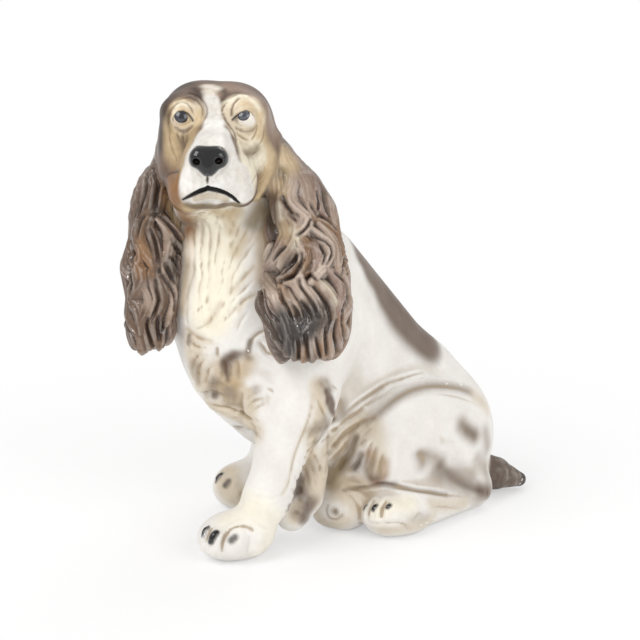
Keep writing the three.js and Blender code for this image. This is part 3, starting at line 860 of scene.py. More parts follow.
@dataclass
class Tresses:
    """The main waves of hair down an ear, as the castings have them."""

    count: int = 7
    share: float = 0.34
    start: float = 0.45
    sway: float = 13.0
    sway_step: float = 0.9
    waves: float = 1.6
    tail: float = 22.0
    taper: float = 0.72
    steps: int = 8

    def lines(self, ear: Lock, phase: float) -> list[Array]:
        """Winds the tresses down an ear.

        Args:
            ear: The ear's plain clay, in the head's frame.
            phase: How far round the ear the first one starts, in degrees.

        Returns:
            Their lines, in the head's frame.
        """
        stations, sizes = np.array(ear.points, float), np.array(ear.radii, float)
        share = np.arange(self.steps + 1) / self.steps
        at = self.start + (len(stations) - 1.0 - self.start) * share
        spine = np.stack([np.interp(at, range(len(stations)), axis) for axis in stations.T], 1)
        size = np.interp(at, range(len(stations)), sizes)
        size[-1] *= self.taper
        spine[-1, 2] -= self.tail
        lines = []
        for number in range(self.count):
            sway = self.sway * np.sin(2.0 * math.pi * self.waves * share + self.sway_step * number)
            angle = np.radians(360.0 * number / self.count + phase + sway)
            round_it = np.stack([ear.breadth * size * np.cos(angle), size * np.sin(angle), 0.0 * size], 1)
            lines.append(spine + round_it)
        return lines


@dataclass
class Face:
    """Eyelids, nostrils, lips and mouth, added to the plain head."""

    head: Head
    upper_lid: float = 2.7
    upper_sink: float = 0.2
    lower_lid: float = 1.9
    lower_sink: float = 0.3
    lid_blend: float = 2.0
    lip_radius: float = 3.8
    lip_sink: float = 1.5
    lip_blend: float = 4.0
    mouth_radius: float = 2.6
    mouth_sink: float = 1.2
    mouth_blend: float = 0.6
    nostril: Point = (3.6, 6.0, 3.0)
    nostril_blend: float = 1.5
    rope_end: float = 0.2
    rope_spacing: float = 3.0

    UPPER_LIDS: ClassVar[tuple[str, str]] = (
        "905,488 945,442 1000,402 1058,382 1106,404 1136,446 1154,496",
        "290,494 306,430 345,396 398,388 450,410 486,450 508,498",
    )
    LOWER_LIDS: ClassVar[tuple[str, str]] = (
        "918,520 962,566 1012,598 1074,604 1126,580 1158,532",
        "298,518 328,552 380,576 436,572 478,548 506,518",
    )
    MOUTH: ClassVar[str] = (
        "398,1328 470,1290 545,1254 610,1228 660,1212 720,1224 790,1242 850,1266 920,1310 982,1364"
    )
    NOSTRILS: ClassVar[str] = "532,940 772,932"
    LIP: ClassVar[str] = "520,1338 600,1298 690,1290 780,1302 860,1344"

    def forms(self, plain: Field, lidded: Field) -> list[Form]:
        """The face's own forms, in the head's frame.

        Args:
            plain: The plain figure.
            lidded: The plain figure with its eyeballs.

        Returns:
            Lids and lip, then the cuts, the mouth last.
        """
        def land(drawn: str, clay: Field) -> Array:
            """A run of the head's sheet on the clay, in the head's frame."""
            return self.head.local(VIEW.land(Sheet.HEAD.read(drawn), clay))

        def rope(
            drawn: str, clay: Field, radius: float, sink: float, blend: float, cut: bool = False
        ) -> Lock:
            """A rope of clay along a run, sunk in and thin at its ends."""
            line = eased_run(land(drawn, clay), self.rope_spacing) + (0.0, sink, 0.0)
            share = (np.arange(len(line)) + 0.5) / len(line)
            sizes = radius * (self.rope_end + (1.0 - self.rope_end) * np.sin(math.pi * share))
            return Lock([tuple(p) for p in line], tuple(sizes), blend, cut=cut)

        holes = land(self.NOSTRILS, plain)
        return [
            *[rope(run, lidded, self.upper_lid, self.upper_sink, self.lid_blend) for run in self.UPPER_LIDS],
            *[rope(run, lidded, self.lower_lid, self.lower_sink, self.lid_blend) for run in self.LOWER_LIDS],
            rope(self.LIP, plain, self.lip_radius, self.lip_sink, self.lip_blend),
            *[Ball(tuple(hole), self.nostril, self.nostril_blend, cut=True) for hole in holes],
            rope(self.MOUTH, plain, self.mouth_radius, self.mouth_sink, self.mouth_blend, cut=True),
        ]


@dataclass(frozen=True)
class Tuft:
    """A roll of clay along a drawn run: its radius, how far it stands out, and how softly it joins."""

    radius: float
    proud: float
    blend: float
    run: Array

    def form(self, clay: Field) -> Lock:
        """The roll, laid on the clay."""
        line = VIEW.land(self.run, clay)
        line = line - slope(clay, line) * (self.radius - self.proud)
        return Lock([tuple(p) for p in line], (self.radius,) * len(line), self.blend)


def tufts(sheet: Sheet, *rows: tuple) -> list[Tuft]:
    """Rolls on a sheet, from rows of radius, how far they stand out, blend and the runs drawn with them."""
    made = []
    for radius, proud, blend, *runs in rows:
        made += [Tuft(radius, proud, blend, sheet.read(run)) for run in runs]
    return made


# Rolls of clay on the body: toes, then folds of the coat. Rows: radius, standing out, blend, runs.
BODY_TUFTS = tufts(
    Sheet.CHEST,
    (9, 3.5, 2, "165,1380 150,1450"),
    (9.5, 4.5, 2, "232,1385 215,1480"),
    (12, 4.5, 3, "365,1385 350,1480"),
    (11, 3.5, 3, "510,1400 495,1470"),
    (9, 2, 3, "262,1000 246,1080", "340,1040 330,1130"),
) + tufts(
    Sheet.HAUNCH,
    (8, 2, 2.5, "446,1020 452,1070"),
    (9, 2.5, 2.5, "512,1010 512,1080"),
    (13, 3, 4, "640,1010 640,1080"),
) + tufts(
    Sheet.CHEST,
    (16, 4, 9, "480,430 455,520 490,600"),
    (14, 4.5, 5, "70,150 75,260 110,360 140,410"),
    (13, 3.5, 5, "160,190 175,290 200,360"),
    (11, 3, 5, "210,545 320,590 420,630 480,690"),
) + tufts(
    Sheet.HAUNCH,
    (10, 2.5, 7, "775,590 840,568 900,572"),
) + tufts(
    Sheet.RIGHT_EAR,
    (12, 5, 8, "455,290 470,400 510,520 545,650 560,780"),
)
# Tool marks of the face. Rows here and below: width, height, runs.
FACE_MARKS = marks(
    Sheet.HEAD,
    (1.35, -1.15, "243,575 246,470 270,395 325,330 385,306 442,326 487,380 503,450",
     "330,300 400,272 480,262 545,295 592,350 604,420 590,490 560,545",
     "470,226 550,250 610,300 648,370 648,430 620,490 575,560", "316,600 370,626 440,620 492,574",
     "905,452 905,390 925,330 985,268", "955,574 1010,608 1075,612 1132,590 1158,548",
     "948,596 975,652 1030,692 1085,712"),
    (1.5, -1.6, "805,440 808,370 840,325 900,298", "820,440 850,510 900,580 935,630 955,700 958,790",
     "652,1078 652,1130 654,1192"),
    (1.6, 1.2, "846,326 920,282 990,246 1060,252 1120,294 1190,372 1224,470 1240,540"),
    (1.3, -0.9, "672,1092 688,1130 704,1172", "330,640 352,705 382,760", "398,650 392,720 410,795",
     "460,640 442,720 415,800", "262,610 250,690 280,800 330,920", "1180,560 1150,660 1100,730",
     "1250,560 1240,680 1170,790", "1060,860 1140,850 1210,800", "1260,1000 1210,1120 1160,1260",
     "1200,1020 1150,1110 1100,1200", "230,1090 285,1046 350,1034"),
)
# Paint of the face, in the order of spraying, with painted shadow under the lower lip and chin. Rows here and
# below: paint, radius, softness, strength, runs.
FACE_SPRAYS = sprays(
    Sheet.HEAD,
    (Paint.EAR_TAUPE, 13, 9, 0.8, "820,190 950,190 1080,230 1200,320 1290,450 1340,600"),
    (Paint.CAP_DARK, 10, 9, 0.95, "160,740 165,520 200,350 290,220 420,130"),
    (Paint.CAP_DARK, 4.5, 5, 0.85, "430,100 620,80 800,80 960,90"),
    (Paint.CAP_DARK, 3.2, 3.5, 0.75, "510,170 570,230 620,300 646,380", "830,400 815,340 850,290",
     "480,220 540,230", "790,170 840,215 830,290", "880,250 960,220"),
    (Paint.CAP, 4, 5, 0.5, "880,250 960,215 1040,220"),
    (Paint.SAND, 10, 8, 0.9, "1300,900 1280,1030 1230,1180 1180,1320"),
    (Paint.SAND, 13, 9, 0.85, "1120,640 1180,720 1240,820"),
    (Paint.TAN, 9, 7, 0.9, "255,600 260,740 310,880 350,1000", "480,620 465,740 420,850 385,960"),
    (Paint.OCHRE, 5, 5, 0.8, "350,1060 340,1180 350,1300 380,1400"),
    (Paint.SAND, 8, 5, 0.9, "430,1420 560,1450 700,1450 850,1450 1010,1420"),
    (Paint.CREAM, 12, 7, 0.95, "1060,720 1120,780", "1180,900 1140,1000 1120,1120 1090,1240"),
    (Paint.CREAM, 6, 4, 1, "945,630 985,720 1010,800 1040,900 1065,1010 1090,1150 1105,1290"),
    (Paint.BLAZE, 5, 4.5, 1, "640,150 690,150 740,170"),
    (Paint.BLAZE, 6.2, 3.6, 1, "670,210 692,290 712,370 724,440"),
    (Paint.PALE_SAND, 13, 5, 1, "985,330 1060,340 1120,420 1150,520"),
    (Paint.SAND, 12, 5, 0.9, "372,380 372,460 385,560"),
    (Paint.PALE_SAND, 3.5, 3, 0.9, "300,420 340,350 395,335 450,365", "330,590 400,622 470,590"),
    (Paint.PALE_SAND, 7, 5, 0.85, "545,380 548,480", "860,380 880,500 940,600 1010,680"),
    (Paint.SAND, 5, 5, 0.75, "1200,460 1205,560 1190,640", "1060,330 1100,380", "560,430 545,540"),
    (Paint.OLIVE, 2.6, 2.6, 0.7, "252,430 244,540 262,610", "330,650 356,720", "398,650 394,760 410,800",
     "440,650 430,740"),
    (Paint.TAN, 4, 4, 0.7, "300,640 320,760 350,850", "460,600 470,700 440,800"),
    (Paint.WHITE, 6.5, 3, 1, "690,280 712,370 724,450 724,520"),
    (Paint.WHITE, 10, 2.5, 1, "722,520 712,570"),
    (Paint.WHITE, 18.5, 2.5, 1, "722,660 712,700"),
    (Paint.WHITE, 22, 2.5, 1, "735,780 715,840"),
    (Paint.WHITE, 7, 3, 1, "840,620 862,690 878,780"),
    (Paint.WHITE, 30, 3, 1, "690,960 690,1060 690,1170"),
    (Paint.WHITE, 13, 3, 1, "470,1130 478,1230 488,1290", "980,1080 1020,1200 1050,1290"),
    (Paint.CREAM, 2.6, 2.2, 0.8, "850,326 920,284 990,248 1060,254 1120,296 1190,374", "990,540 1060,545",
     "330,345 385,320 440,340"),
    (Paint.OLIVE, 4.2, 4.5, 0.8, "1050,852 1110,842 1170,800"),
    (Paint.SMOKE, 1.6, 1.8, 0.7, "820,440 850,510 900,580 935,630 955,700 958,790"),
    (Paint.OCHRE, 9, 7, 0.9, "270,1090 275,1230 300,1360"),
    (Paint.UMBER, 7, 6, 0.8, "195,1090 210,1180 230,1290"),
    (Paint.OCHRE, 8, 6, 0.85, "300,1400 330,1470 380,1530"),
    (Paint.UMBER, 2.2, 2.2, 0.85, "215,1100 280,1050 345,1038"),
    (Paint.LIP, 4, 2, 1, "540,1318 690,1292 840,1328"),
    # Painted shadow under the lower lip and the chin.
    (Paint.UMBER, 4.4, 3.6, 0.85, "520,1412 620,1420 740,1424 860,1418 960,1404"),
    (Paint.OLIVE, 3.2, 3.2, 0.7, "840,1362 900,1372 950,1378"),
    (Paint.OLIVE, 4, 3.4, 0.9, "450,1390 560,1402 700,1406 850,1402 970,1390"),
    (Paint.GAP, 1.2, 0.9, 0.95, "916,498 952,464 1004,429 1058,411 1096,430 1122,460",
     "300,502 318,452 350,421 398,413 444,435 476,470 500,508", "652,1090 654,1200"),
    (Paint.UMBER, 1, 1.2, 0.6, "955,590 1010,622 1075,628 1132,606 1166,560",
     "310,574 370,604 440,600 494,562", "905,452 905,390 925,330 975,272",
     "245,540 250,450 285,380 340,322"),
)
# Deep cuts between the locks of the ears.
EAR_SLITS = marks(
    Sheet.LEFT_EAR,
    (2.2, -4, "218,385 240,440 275,482 312,508", "195,955 250,930 300,900 330,850 350,800 345,760"),
    (1.7, -3, "312,636 350,612 385,575 402,535", "405,602 445,650 500,680 530,715 535,770 505,830",
     "262,496 290,525 312,545", "400,430 425,478 440,515", "440,350 455,420 445,480",
     "455,505 520,540 560,590", "470,720 500,770 480,830", "170,800 205,750 240,715",
     "215,905 260,860 300,810 315,770", "330,930 340,985 385,1050 425,1110 455,1180",
     "375,920 410,905 440,940", "430,985 480,1050 520,1120 530,1200 510,1280",
     "560,890 610,940 640,1010 625,1080 600,1140", "205,1000 225,1070 260,1120 290,1200",
     "110,1010 120,1100 160,1170 195,1210", "60,1020 50,1110 90,1220 150,1330 210,1410",
     "270,1085 310,1140 330,1200", "345,1080 385,1130 400,1200", "320,1310 330,1400 325,1470",
     "375,1310 385,1400 400,1480", "440,1320 455,1400 470,1450", "495,1250 500,1340 505,1420",
     "560,1200 550,1300 570,1380", "610,1140 600,1220 620,1330", "600,650 620,740 610,830 600,900",
     "75,930 70,990 90,1020"),
) + marks(
    Sheet.RIGHT_EAR,
    (2.2, -4, "300,530 360,550 420,610 480,690 520,770", "320,210 345,300 330,400 320,500",
     "385,880 410,940 440,1010"),
    (1.7, -3, "270,520 235,560 215,620 205,690", "265,250 262,340 240,440 215,550",
     "290,640 320,720 335,800 345,870", "420,830 455,860 490,920 480,980", "440,740 480,790 520,830",
     "175,800 165,850 175,900", "320,1000 330,1070 345,1140 320,1220 290,1290",
     "380,960 420,1040 445,1120 440,1210", "270,1270 265,1340 285,1410 300,1470",
     "340,1260 335,1340 350,1420", "110,1180 130,1280 180,1400 210,1480", "410,1330 400,1400 380,1460",
     "150,960 170,1020 160,1080", "205,300 190,400 165,500 150,560", "130,640 120,720 100,800 80,860"),
)
# Paint of the ears, over the tones of their ropes.
EAR_SPRAYS = sprays(
    Sheet.LEFT_EAR,
    (Paint.SAND, 12, 9, 0.8, "100,60 180,110 230,160"),
    (Paint.TAN, 9, 8, 0.75, "110,150 160,250 200,330", "200,560 250,620"),
    (Paint.OLIVE, 6, 6, 0.8, "120,215 210,215"),
    (Paint.UMBER, 8, 6, 0.9, "145,400 150,480 155,560"),
    (Paint.TAN, 6, 5, 0.9, "55,420 65,540 75,660 70,780"),
    (Paint.EAR_BROWN, 14, 10, 0.75, "80,1000 90,1150 150,1300 230,1420 400,1470"),
    (Paint.CREAM, 3, 3.5, 0.5, "200,440 215,520", "290,600 315,650 300,720", "490,960 540,1020 560,1080"),
    (Paint.SOOT, 11, 9, 0.95, "230,1180 290,1220 330,1250", "410,1150 420,1220 360,1290",
     "240,1300 290,1380"),
    (Paint.CAP_DARK, 7, 6, 0.75, "190,890 260,840", "60,1060 120,1200 190,1330", "470,240 520,330",
     "500,1120 510,1220"),
    (Paint.OCHRE, 4, 4, 0.6, "350,1400 350,1460", "480,1380 490,1430", "590,1180 600,1280"),
) + sprays(
    Sheet.RIGHT_EAR,
    (Paint.CAP, 14, 10, 0.9, "330,120 290,220 240,330"),
    (Paint.CAP_DARK, 8, 6, 0.85, "345,250 345,360 335,480", "430,860 450,960", "110,1200 130,1290 190,1400",
     "470,730 500,790", "330,1320 360,1400"),
    (Paint.OCHRE, 8, 7, 0.7, "430,250 430,360 450,480", "500,560 545,700 560,850",
     "190,700 200,800 230,950", "200,1100 230,1250", "240,1420 330,1460"),
    (Paint.TAN, 8, 6, 0.85, "420,240 470,400 505,520 525,640 530,780"),
    (Paint.EAR_BROWN, 14, 10, 0.8, "150,560 130,700 120,850", "180,1050 200,1200 260,1350"),
    (Paint.EAR_BROWN, 11, 9, 0.7, "285,170 300,260 330,340", "171,600 160,720",
     "171,1180 220,1330 285,1453"),
    (Paint.OCHRE, 6, 6, 0.6, "399,280 405,340 410,420"),
    (Paint.EAR_PALE, 7, 7, 0.7, "285,1060 285,1150"),
) + sprays(
    Sheet.LEFT_EAR,
    (Paint.EAR_PALE, 7, 7, 0.7, "187,800 190,850", "294,1010 300,1070"),
)
# Tool marks of the coat, the toes and the sole.
BODY_MARKS = marks(
    Sheet.RIGHT_EAR,
    (2.3, -1.05, "1000,600 935,715 880,830 850,900", "1045,700 965,820 885,930 850,965",
     "1025,900 950,985 870,1080", "1040,1100 960,1140 915,1210", "900,1150 870,1230 800,1300",
     "790,1170 740,1250 690,1310 600,1355", "930,600 895,690 860,770",
     "640,560 652,700 640,850 655,980 620,1080", "590,640 600,800 590,950 560,1060 540,1140",
     "700,600 715,740 705,900 690,1050", "545,1345 630,1405 720,1440", "700,1120 650,1190 590,1235",
     "780,600 770,720 750,830 745,950", "1010,1000 940,1080 880,1140 850,1220"),
    (2, -0.8, "860,560 872,620 860,680", "820,960 785,1060 760,1130", "960,1130 905,1180 880,1250",
     "600,1400 660,1450 725,1465", "830,840 800,930 790,1010", "560,560 590,660 600,760",
     "860,1100 800,1190 770,1280", "1060,560 1010,690 950,780", "980,1220 930,1290 900,1370",
     "560,1180 540,1250 560,1330"),
) + marks(
    Sheet.CHEST,
    (2.3, -2, "60,130 100,170 200,180", "235,170 240,235", "130,215 90,270 70,340",
     "165,240 120,300 112,400", "210,290 175,330 165,400", "270,240 285,300 270,370",
     "330,240 370,280 375,370", "190,545 300,560 420,600 492,650", "200,590 330,625 480,685",
     "240,630 360,685 490,720", "430,700 492,742", "435,215 450,140 500,88 560,60",
     "510,140 540,190 600,235", "400,470 395,560 420,620 460,640"),
    (2, -1, "430,470 460,440 500,430", "420,520 460,480 510,465", "430,570 470,520 520,500",
     "445,610 490,560 530,540", "540,170 560,230", "560,440 600,460"),
    (2.2, -1.4, "855,470 835,600 785,740 728,900 698,1040 660,1115"),
    (2, -0.9, "402,1105 480,1132 545,1150 605,1140 665,1108"),
    (2, -1.5, "800,880 850,960 870,1060", "840,850 890,920 905,1000", "760,900 800,980 830,1080",
     "730,1000 770,1080 830,1140", "720,1080 760,1150 820,1180", "690,1180 740,1230 790,1250",
     "680,1220 730,1270", "880,390 930,440 945,520", "930,380 990,430 1030,520", "870,480 905,560 935,640",
     "860,690 820,760", "900,690 850,790", "940,680 890,780", "820,830 870,880", "870,760 840,850"),
    (2, -3.2, "405,1318 360,1318 320,1336 290,1378 272,1430 269,1480", "200,1330 178,1375 160,1420"),
    (2, -1.6, "405,1318 445,1330 474,1352"),
    (2, -1.8, "300,1010 285,1060", "395,1090 385,1140"),
) + marks(
    Sheet.HAUNCH,
    (2.2, -2.2, "160,655 230,585 300,495 400,430 500,388", "240,610 320,520 400,450",
     "290,690 345,640 385,520", "370,742 405,680 440,615", "478,742 500,650 520,570",
     "200,690 260,640 330,540", "215,600 290,520 380,450", "150,560 230,480 320,400 420,340",
     "330,760 400,700", "530,800 545,720 570,640", "250,760 300,690", "440,700 465,620 500,540"),
    (1.9, -1.1, "757,140 600,220 462,312", "659,165 500,260 339,386", "560,189 400,290 265,411",
     "700,120 560,180 430,270", "840,90 720,120 640,160"),
    (3.4, -2.4, "500,400 600,300 700,228 800,188 900,172 1040,180 1150,212"),
    (2.2, -0.9, "860,236 960,230 1080,256 1210,302", "760,150 850,115"),
    (4.5, -1.8, "800,620 830,660 850,720", "960,722 1020,780 1130,850 1240,892"),
    (5, 1.2, "850,600 940,610 1040,620 1130,625"),
) + marks(
    Sheet.CHEST,
    (4.5, -8, "120,455 200,465 270,490"),
) + marks(
    Sheet.HAUNCH,
    (2, -2, "300,885 420,870 560,845 700,872 800,890 900,904 1000,922 1150,935"),
    (2.2, -3.6, "588,955 560,1010 552,1090", "500,965 470,1020 458,1090"),
    (2, -2, "448,1100 520,1118 640,1112 705,1118 740,1165"),
    (1.9, -1.5, "190,990 180,1030 200,1080 245,1090 285,1060 285,1010 250,985 200,990"),
    (3, -1.8, "232,1030 242,1034"),
    (2, -1.4, "300,890 360,940 400,1010 405,1080", "780,1090 815,1045 850,1060",
     "900,1000 1000,1005 1090,1020", "310,860 390,880 450,920"),
)
# Raised claws.
CLAWS = marks(
    Sheet.CHEST,
    (2.8, 2, "145,1370 178,1325", "195,1420 232,1355", "325,1414 354,1388", "230,1028 262,985",
     "288,1062 310,1028"),
) + marks(
    Sheet.HAUNCH,
    (2.4, 1.6, "440,1012 450,996", "500,1020 518,994", "596,1005 612,992"),
)
# Paint of the body: painted shadow on the throat, back patch, ruff with painted shadow under the chin, chest
# and forelegs, then haunch and hind feet.
BODY_SPRAYS = sprays(
    Sheet.HEAD,
    # Painted shadow on the throat under the chin.
    (Paint.OLIVE, 6, 6, 0.6, "480,1480 600,1495 740,1500 860,1490 960,1470"),
) + sprays(
    Sheet.WHOLE,
    (Paint.PATCH, 9, 9, 1, "362,262 373,278"),
    (Paint.PATCH, 13, 10, 1, "373,280 386,298"),
    (Paint.PATCH, 17, 11, 1, "387,302 398,320 414,338 428,350"),
    (Paint.UMBER, 8, 9, 0.5, "392,300 408,320 428,340"),
) + sprays(
    Sheet.RIGHT_EAR,
    (Paint.CREAM, 24, 12, 0.95, "760,560 760,720 760,900 740,1090 700,1240"),
    (Paint.TAN, 7, 8, 0.7, "580,560 570,700 550,900 530,1050 510,1200"),
    (Paint.OCHRE, 8, 7, 0.9, "440,300 470,420 500,490 530,560 560,640"),
    # Painted shadow under the chin, on the top of the ruff.
    (Paint.TAN, 7, 6, 0.75, "680,490 780,520 890,510"),
    (Paint.OLIVE, 9, 8, 0.85, "1090,400 1060,490 1010,590", "1120,520 1110,640"),
    (Paint.TAN, 6, 6, 0.6, "860,560 870,640", "960,700 900,800", "1070,700 1080,850 1075,1000"),
    (Paint.BUFF, 3, 3, 0.7, "1020,910 950,990 870,1080", "1040,1100 960,1140 915,1210",
     "790,1170 740,1250 690,1310", "545,1345 630,1405 720,1440"),
) + sprays(
    Sheet.CHEST,
    (Paint.BUFF, 14, 10, 0.95, "80,160 110,280 150,390", "230,560 380,620 480,690", "300,440 340,500"),
    (Paint.TAN, 8, 7, 0.75, "330,300 350,400 320,470", "430,260 400,330"),
    (Paint.TAN, 9, 8, 0.7, "260,300 250,420", "350,420 330,500"),
    (Paint.PATCH, 3.4, 4, 0.7, "310,240 360,218 410,212 440,240"),
    (Paint.UMBER, 5.6, 5, 0.9, "345,230 312,248 294,278"),
    (Paint.UMBER, 4.4, 4.5, 0.9, "294,278 294,305 298,330"),
    (Paint.UMBER, 2, 3.5, 0.9, "298,330 304,360 306,385"),
    (Paint.PATCH, 5, 6, 0.75, "222,390 210,430"),
    (Paint.UMBER, 2.6, 2.4, 0.8, "212,485 226,490", "60,100 52,150", "440,200 452,140"),
    (Paint.SMOKE, 4, 4.5, 0.6, "300,530 370,540", "90,270 75,340", "120,300 115,400", "450,470 490,440",
     "360,690 480,715"),
    (Paint.BUFF, 8, 6, 1, "880,420 905,560 880,680", "850,720 830,860 850,1010 860,1160",
     "760,1200 740,1260", "430,470 450,560 440,600"),
    (Paint.SMOKE, 4, 5, 0.6, "900,400 940,450", "930,390 965,450"),
    (Paint.UMBER, 3, 3, 0.95, "938,455 952,490"),
    (Paint.UMBER, 6.2, 3, 0.95, "960,520 975,560"),
    (Paint.UMBER, 3.6, 3, 0.95, "978,590 982,635"),
    (Paint.SMOKE, 7, 6, 0.7, "860,700 920,690", "870,780 890,760", "830,920 860,1000"),
    (Paint.PATCH, 8, 8, 0.95, "765,1090 795,1020", "820,1190 840,1160"),
    (Paint.SMOKE, 7, 7, 0.8, "925,650 940,690", "310,450 330,480", "1030,540 1040,590"),
    (Paint.UMBER, 5, 5, 0.7, "770,1100 790,1060", "700,1200 750,1240 790,1270"),
    (Paint.BUFF, 2, 2.5, 0.6, "855,470 832,600 780,740 722,900 692,1040 655,1115"),
    (Paint.BUFF, 15, 8, 0.95, "290,980 320,1090 380,1130"),
    (Paint.UMBER, 9, 8, 0.85, "930,980 985,985 1040,930"),
    (Paint.CREAM, 16, 10, 0.5, "520,1230 600,1330 560,1450", "420,1180 330,1260"),
) + sprays(
    Sheet.HAUNCH,
    (Paint.BUFF, 15, 10, 0.95, "180,640 300,570 430,450", "150,820 280,860 420,860"),
    (Paint.UMBER, 4.4, 4, 0.75, "300,690 335,620 375,530", "375,740 415,650"),
    (Paint.OLIVE, 8, 7, 0.9, "205,830 240,760 290,700"),
    (Paint.OCHRE, 6, 6, 0.95, "490,640 500,760 520,830", "560,700 560,780"),
    (Paint.UMBER, 4, 4, 0.6, "500,800 560,840 640,850"),
    (Paint.UMBER, 5, 6, 0.7, "490,720 505,780"),
    (Paint.SMOKE, 8, 9, 0.6, "1265,500 1280,590"),
    (Paint.UMBER, 8, 8, 0.6, "470,740 504,790"),
    (Paint.SMOKE, 2.2, 2.6, 0.4, "560,189 400,290 265,411", "430,420 300,520 190,640",
     "470,480 400,580 330,700"),
    (Paint.SMOKE, 5, 6, 0.8, "470,420 560,335 640,270 740,218 830,188 930,174 1050,184 1160,216"),
    (Paint.BUFF, 8, 9, 0.75, "520,470 540,600 530,740", "1200,250 1270,320"),
    (Paint.SMOKE, 8, 9, 1, "1110,450 1150,490 1190,515"),
    (Paint.PATCH, 4, 6, 0.7, "1140,480 1185,510"),
    (Paint.SMOKE, 6, 8, 0.7, "815,640 835,710", "940,730 960,800", "860,640 960,690"),
    (Paint.SMOKE, 11, 10, 0.6, "930,770 1050,780 1160,810", "1040,830 1150,880 1230,930"),
    (Paint.UMBER, 3.2, 6, 0.6, "960,722 1020,780 1130,850 1230,892 1290,930"),
    (Paint.SMOKE, 7, 7, 0.5, "780,1090 860,1090"),
    (Paint.SMOKE, 7, 7, 0.5, "1270,780 1290,880", "1210,670 1260,720"),
    (Paint.UMBER, 7, 7, 0.85, "1230,890 1290,900"),
    (Paint.UMBER, 2.2, 2.6, 0.7, "300,885 420,870 560,845 700,872 800,890 900,904 1000,922"),
    (Paint.CREAM, 10, 8, 0.7, "520,1020 640,980 740,980"),
    (Paint.BUFF, 7, 6, 0.7, "900,980 1000,990 1120,980", "560,1160 700,1150 900,1090"),
    (Paint.PATCH, 5, 5, 0.8, "20,1090 90,1125", "60,1000 40,1060"),
    (Paint.BUFF, 9, 7, 0.8, "110,1060 160,1110 300,1100", "330,940 390,1010"),
    (Paint.SMOKE, 4, 3, 0.95, "236,1032 242,1034"),
    (Paint.SMOKE, 1.4, 1.6, 0.6, "190,990 180,1030 200,1080 245,1090 285,1060"),
)
# Paint of the claws.
CLAW_SPRAYS = sprays(
    Sheet.CHEST,
    (Paint.BLACK, 3, 1.2, 1, "145,1370 175,1330", "230,1028 262,985"),
    (Paint.BLACK, 3.9, 1.4, 1, "197,1416 230,1360"),
    (Paint.SOOT, 3.4, 2.2, 0.85, "328,1411 352,1391", "290,1058 308,1032"),
) + sprays(
    Sheet.HAUNCH,
    (Paint.BLACK, 2.4, 1.2, 1, "440,1012 450,996", "500,1020 518,994", "596,1005 612,992"),
)
# Places where the paint is chipped off.
CHIPS = sprays(
    Sheet.RIGHT_EAR,
    (Paint.WHITE, 0.8, 1, 1, "70,880 75,900", "110,990 114,996", "140,965 146,975", "180,1350 186,1360"),
) + sprays(
    Sheet.WHOLE,
    (Paint.WHITE, 1.6, 1.8, 1, "447,366 462,386", "520,484 523,478", "262,345 268,352"),
) + sprays(
    Sheet.HAUNCH,
    (Paint.WHITE, 2, 2, 1, "800,1140 860,1110 940,1075 1040,1040", "1000,160 1020,165"),
) + sprays(
    Sheet.LEFT_EAR,
    (Paint.WHITE, 0.8, 1, 1, "300,1190 304,1200", "318,1236 320,1240", "240,1450 246,1456"),
) + sprays(
    Sheet.CHEST,
    (Paint.WHITE, 1.6, 1.8, 1, "425,1130 450,1150", "160,1370 165,1390", "425,196 440,200"),
)
# Combed hair of chest, legs, thigh and rump.
COMBS = [
    Comb((0.1, -0.2, -1.0), 7.0, 0.8, 36.0, 9.0, 4.0,
         Sheet.RIGHT_EAR.read("700,560 740,760 760,950 700,1150")),
    Comb((0.4, -0.1, -0.8), 6.0, 0.7, 24.0, 7.0, 2.0, Sheet.CHEST.read("110,200 160,330 250,460")),
    Comb((0.9, 0.3, -0.3), 5.5, 0.7, 20.0, 9.0, 1.0, Sheet.CHEST.read("230,580 400,640 480,690")),
    Comb((-0.1, 0.5, -0.8), 5.5, 0.7, 14.0, 6.0, 1.5,
         Sheet.CHEST.read("900,420 880,620 850,800 840,960 850,1140")),
    Comb((-0.3, -0.75, -0.7), 6.0, 0.9, 22.0, 9.0, 1.5, Sheet.HAUNCH.read("180,690 300,580 420,470")),
    Comb((0.3, 0.9, -0.3), 5.0, 0.7, 20.0, 7.0, 1.0, Sheet.HAUNCH.read("1380,760 1450,800")),
]
# Ropes of hair on the ears, each from its root to its tip.
LEFT_LOCKS = (
    "200,60 230,140 270,210 275,280 255,350 275,430 330,480 380,530 360,590 310,640 "
    "330,700 360,760 340,840 310,910",
    "250,70 310,160 345,240 375,310 385,390 420,470 430,520",
    "330,130 400,210 430,290 430,380 460,450 500,520",
    "400,180 460,260 510,350 545,440 555,520 550,580",
    "420,520 490,545 555,600 605,680 630,760 640,840 620,910",
    "410,600 470,650 520,700 520,760 490,830 440,900 405,950",
    "460,560 530,640 570,720 580,800 590,860 630,930 670,1010 665,1090 620,1180 600,1250 630,1310",
    "185,380 200,460 215,540 240,620 210,690 165,780 110,850",
    "230,440 290,520 300,590 280,670 230,760 190,840",
    "330,640 375,700 380,770 340,850 260,880 200,920",
    "140,700 95,800 80,900 110,990 160,1050 200,1130 240,1230 250,1330 240,1430",
    "60,1020 55,1100 100,1200 150,1300 200,1390",
    "110,1020 140,1120 180,1220 215,1320",
    "230,950 300,960 340,1010 400,1070 430,1150 400,1230 350,1280",
    "190,930 220,1040 270,1130 300,1210 320,1290 340,1390 350,1470",
    "330,900 340,960 390,1020 440,1090 450,1180 430,1270 430,1370 450,1450",
    "420,940 490,1000 540,1070 555,1150 540,1230 510,1310 520,1390 535,1440",
    "500,850 560,910 600,980 600,1060 570,1130 560,1220 570,1310 600,1390",
    "470,1130 490,1220 470,1310 480,1400 490,1450",
    "260,1300 280,1390 290,1460",
    "390,1290 395,1380 405,1470",
    "600,1240 640,1290 655,1340 630,1380",
    "330,700 420,720 440,800 420,870",
    "140,160 150,260 170,350 160,450 170,540",
)
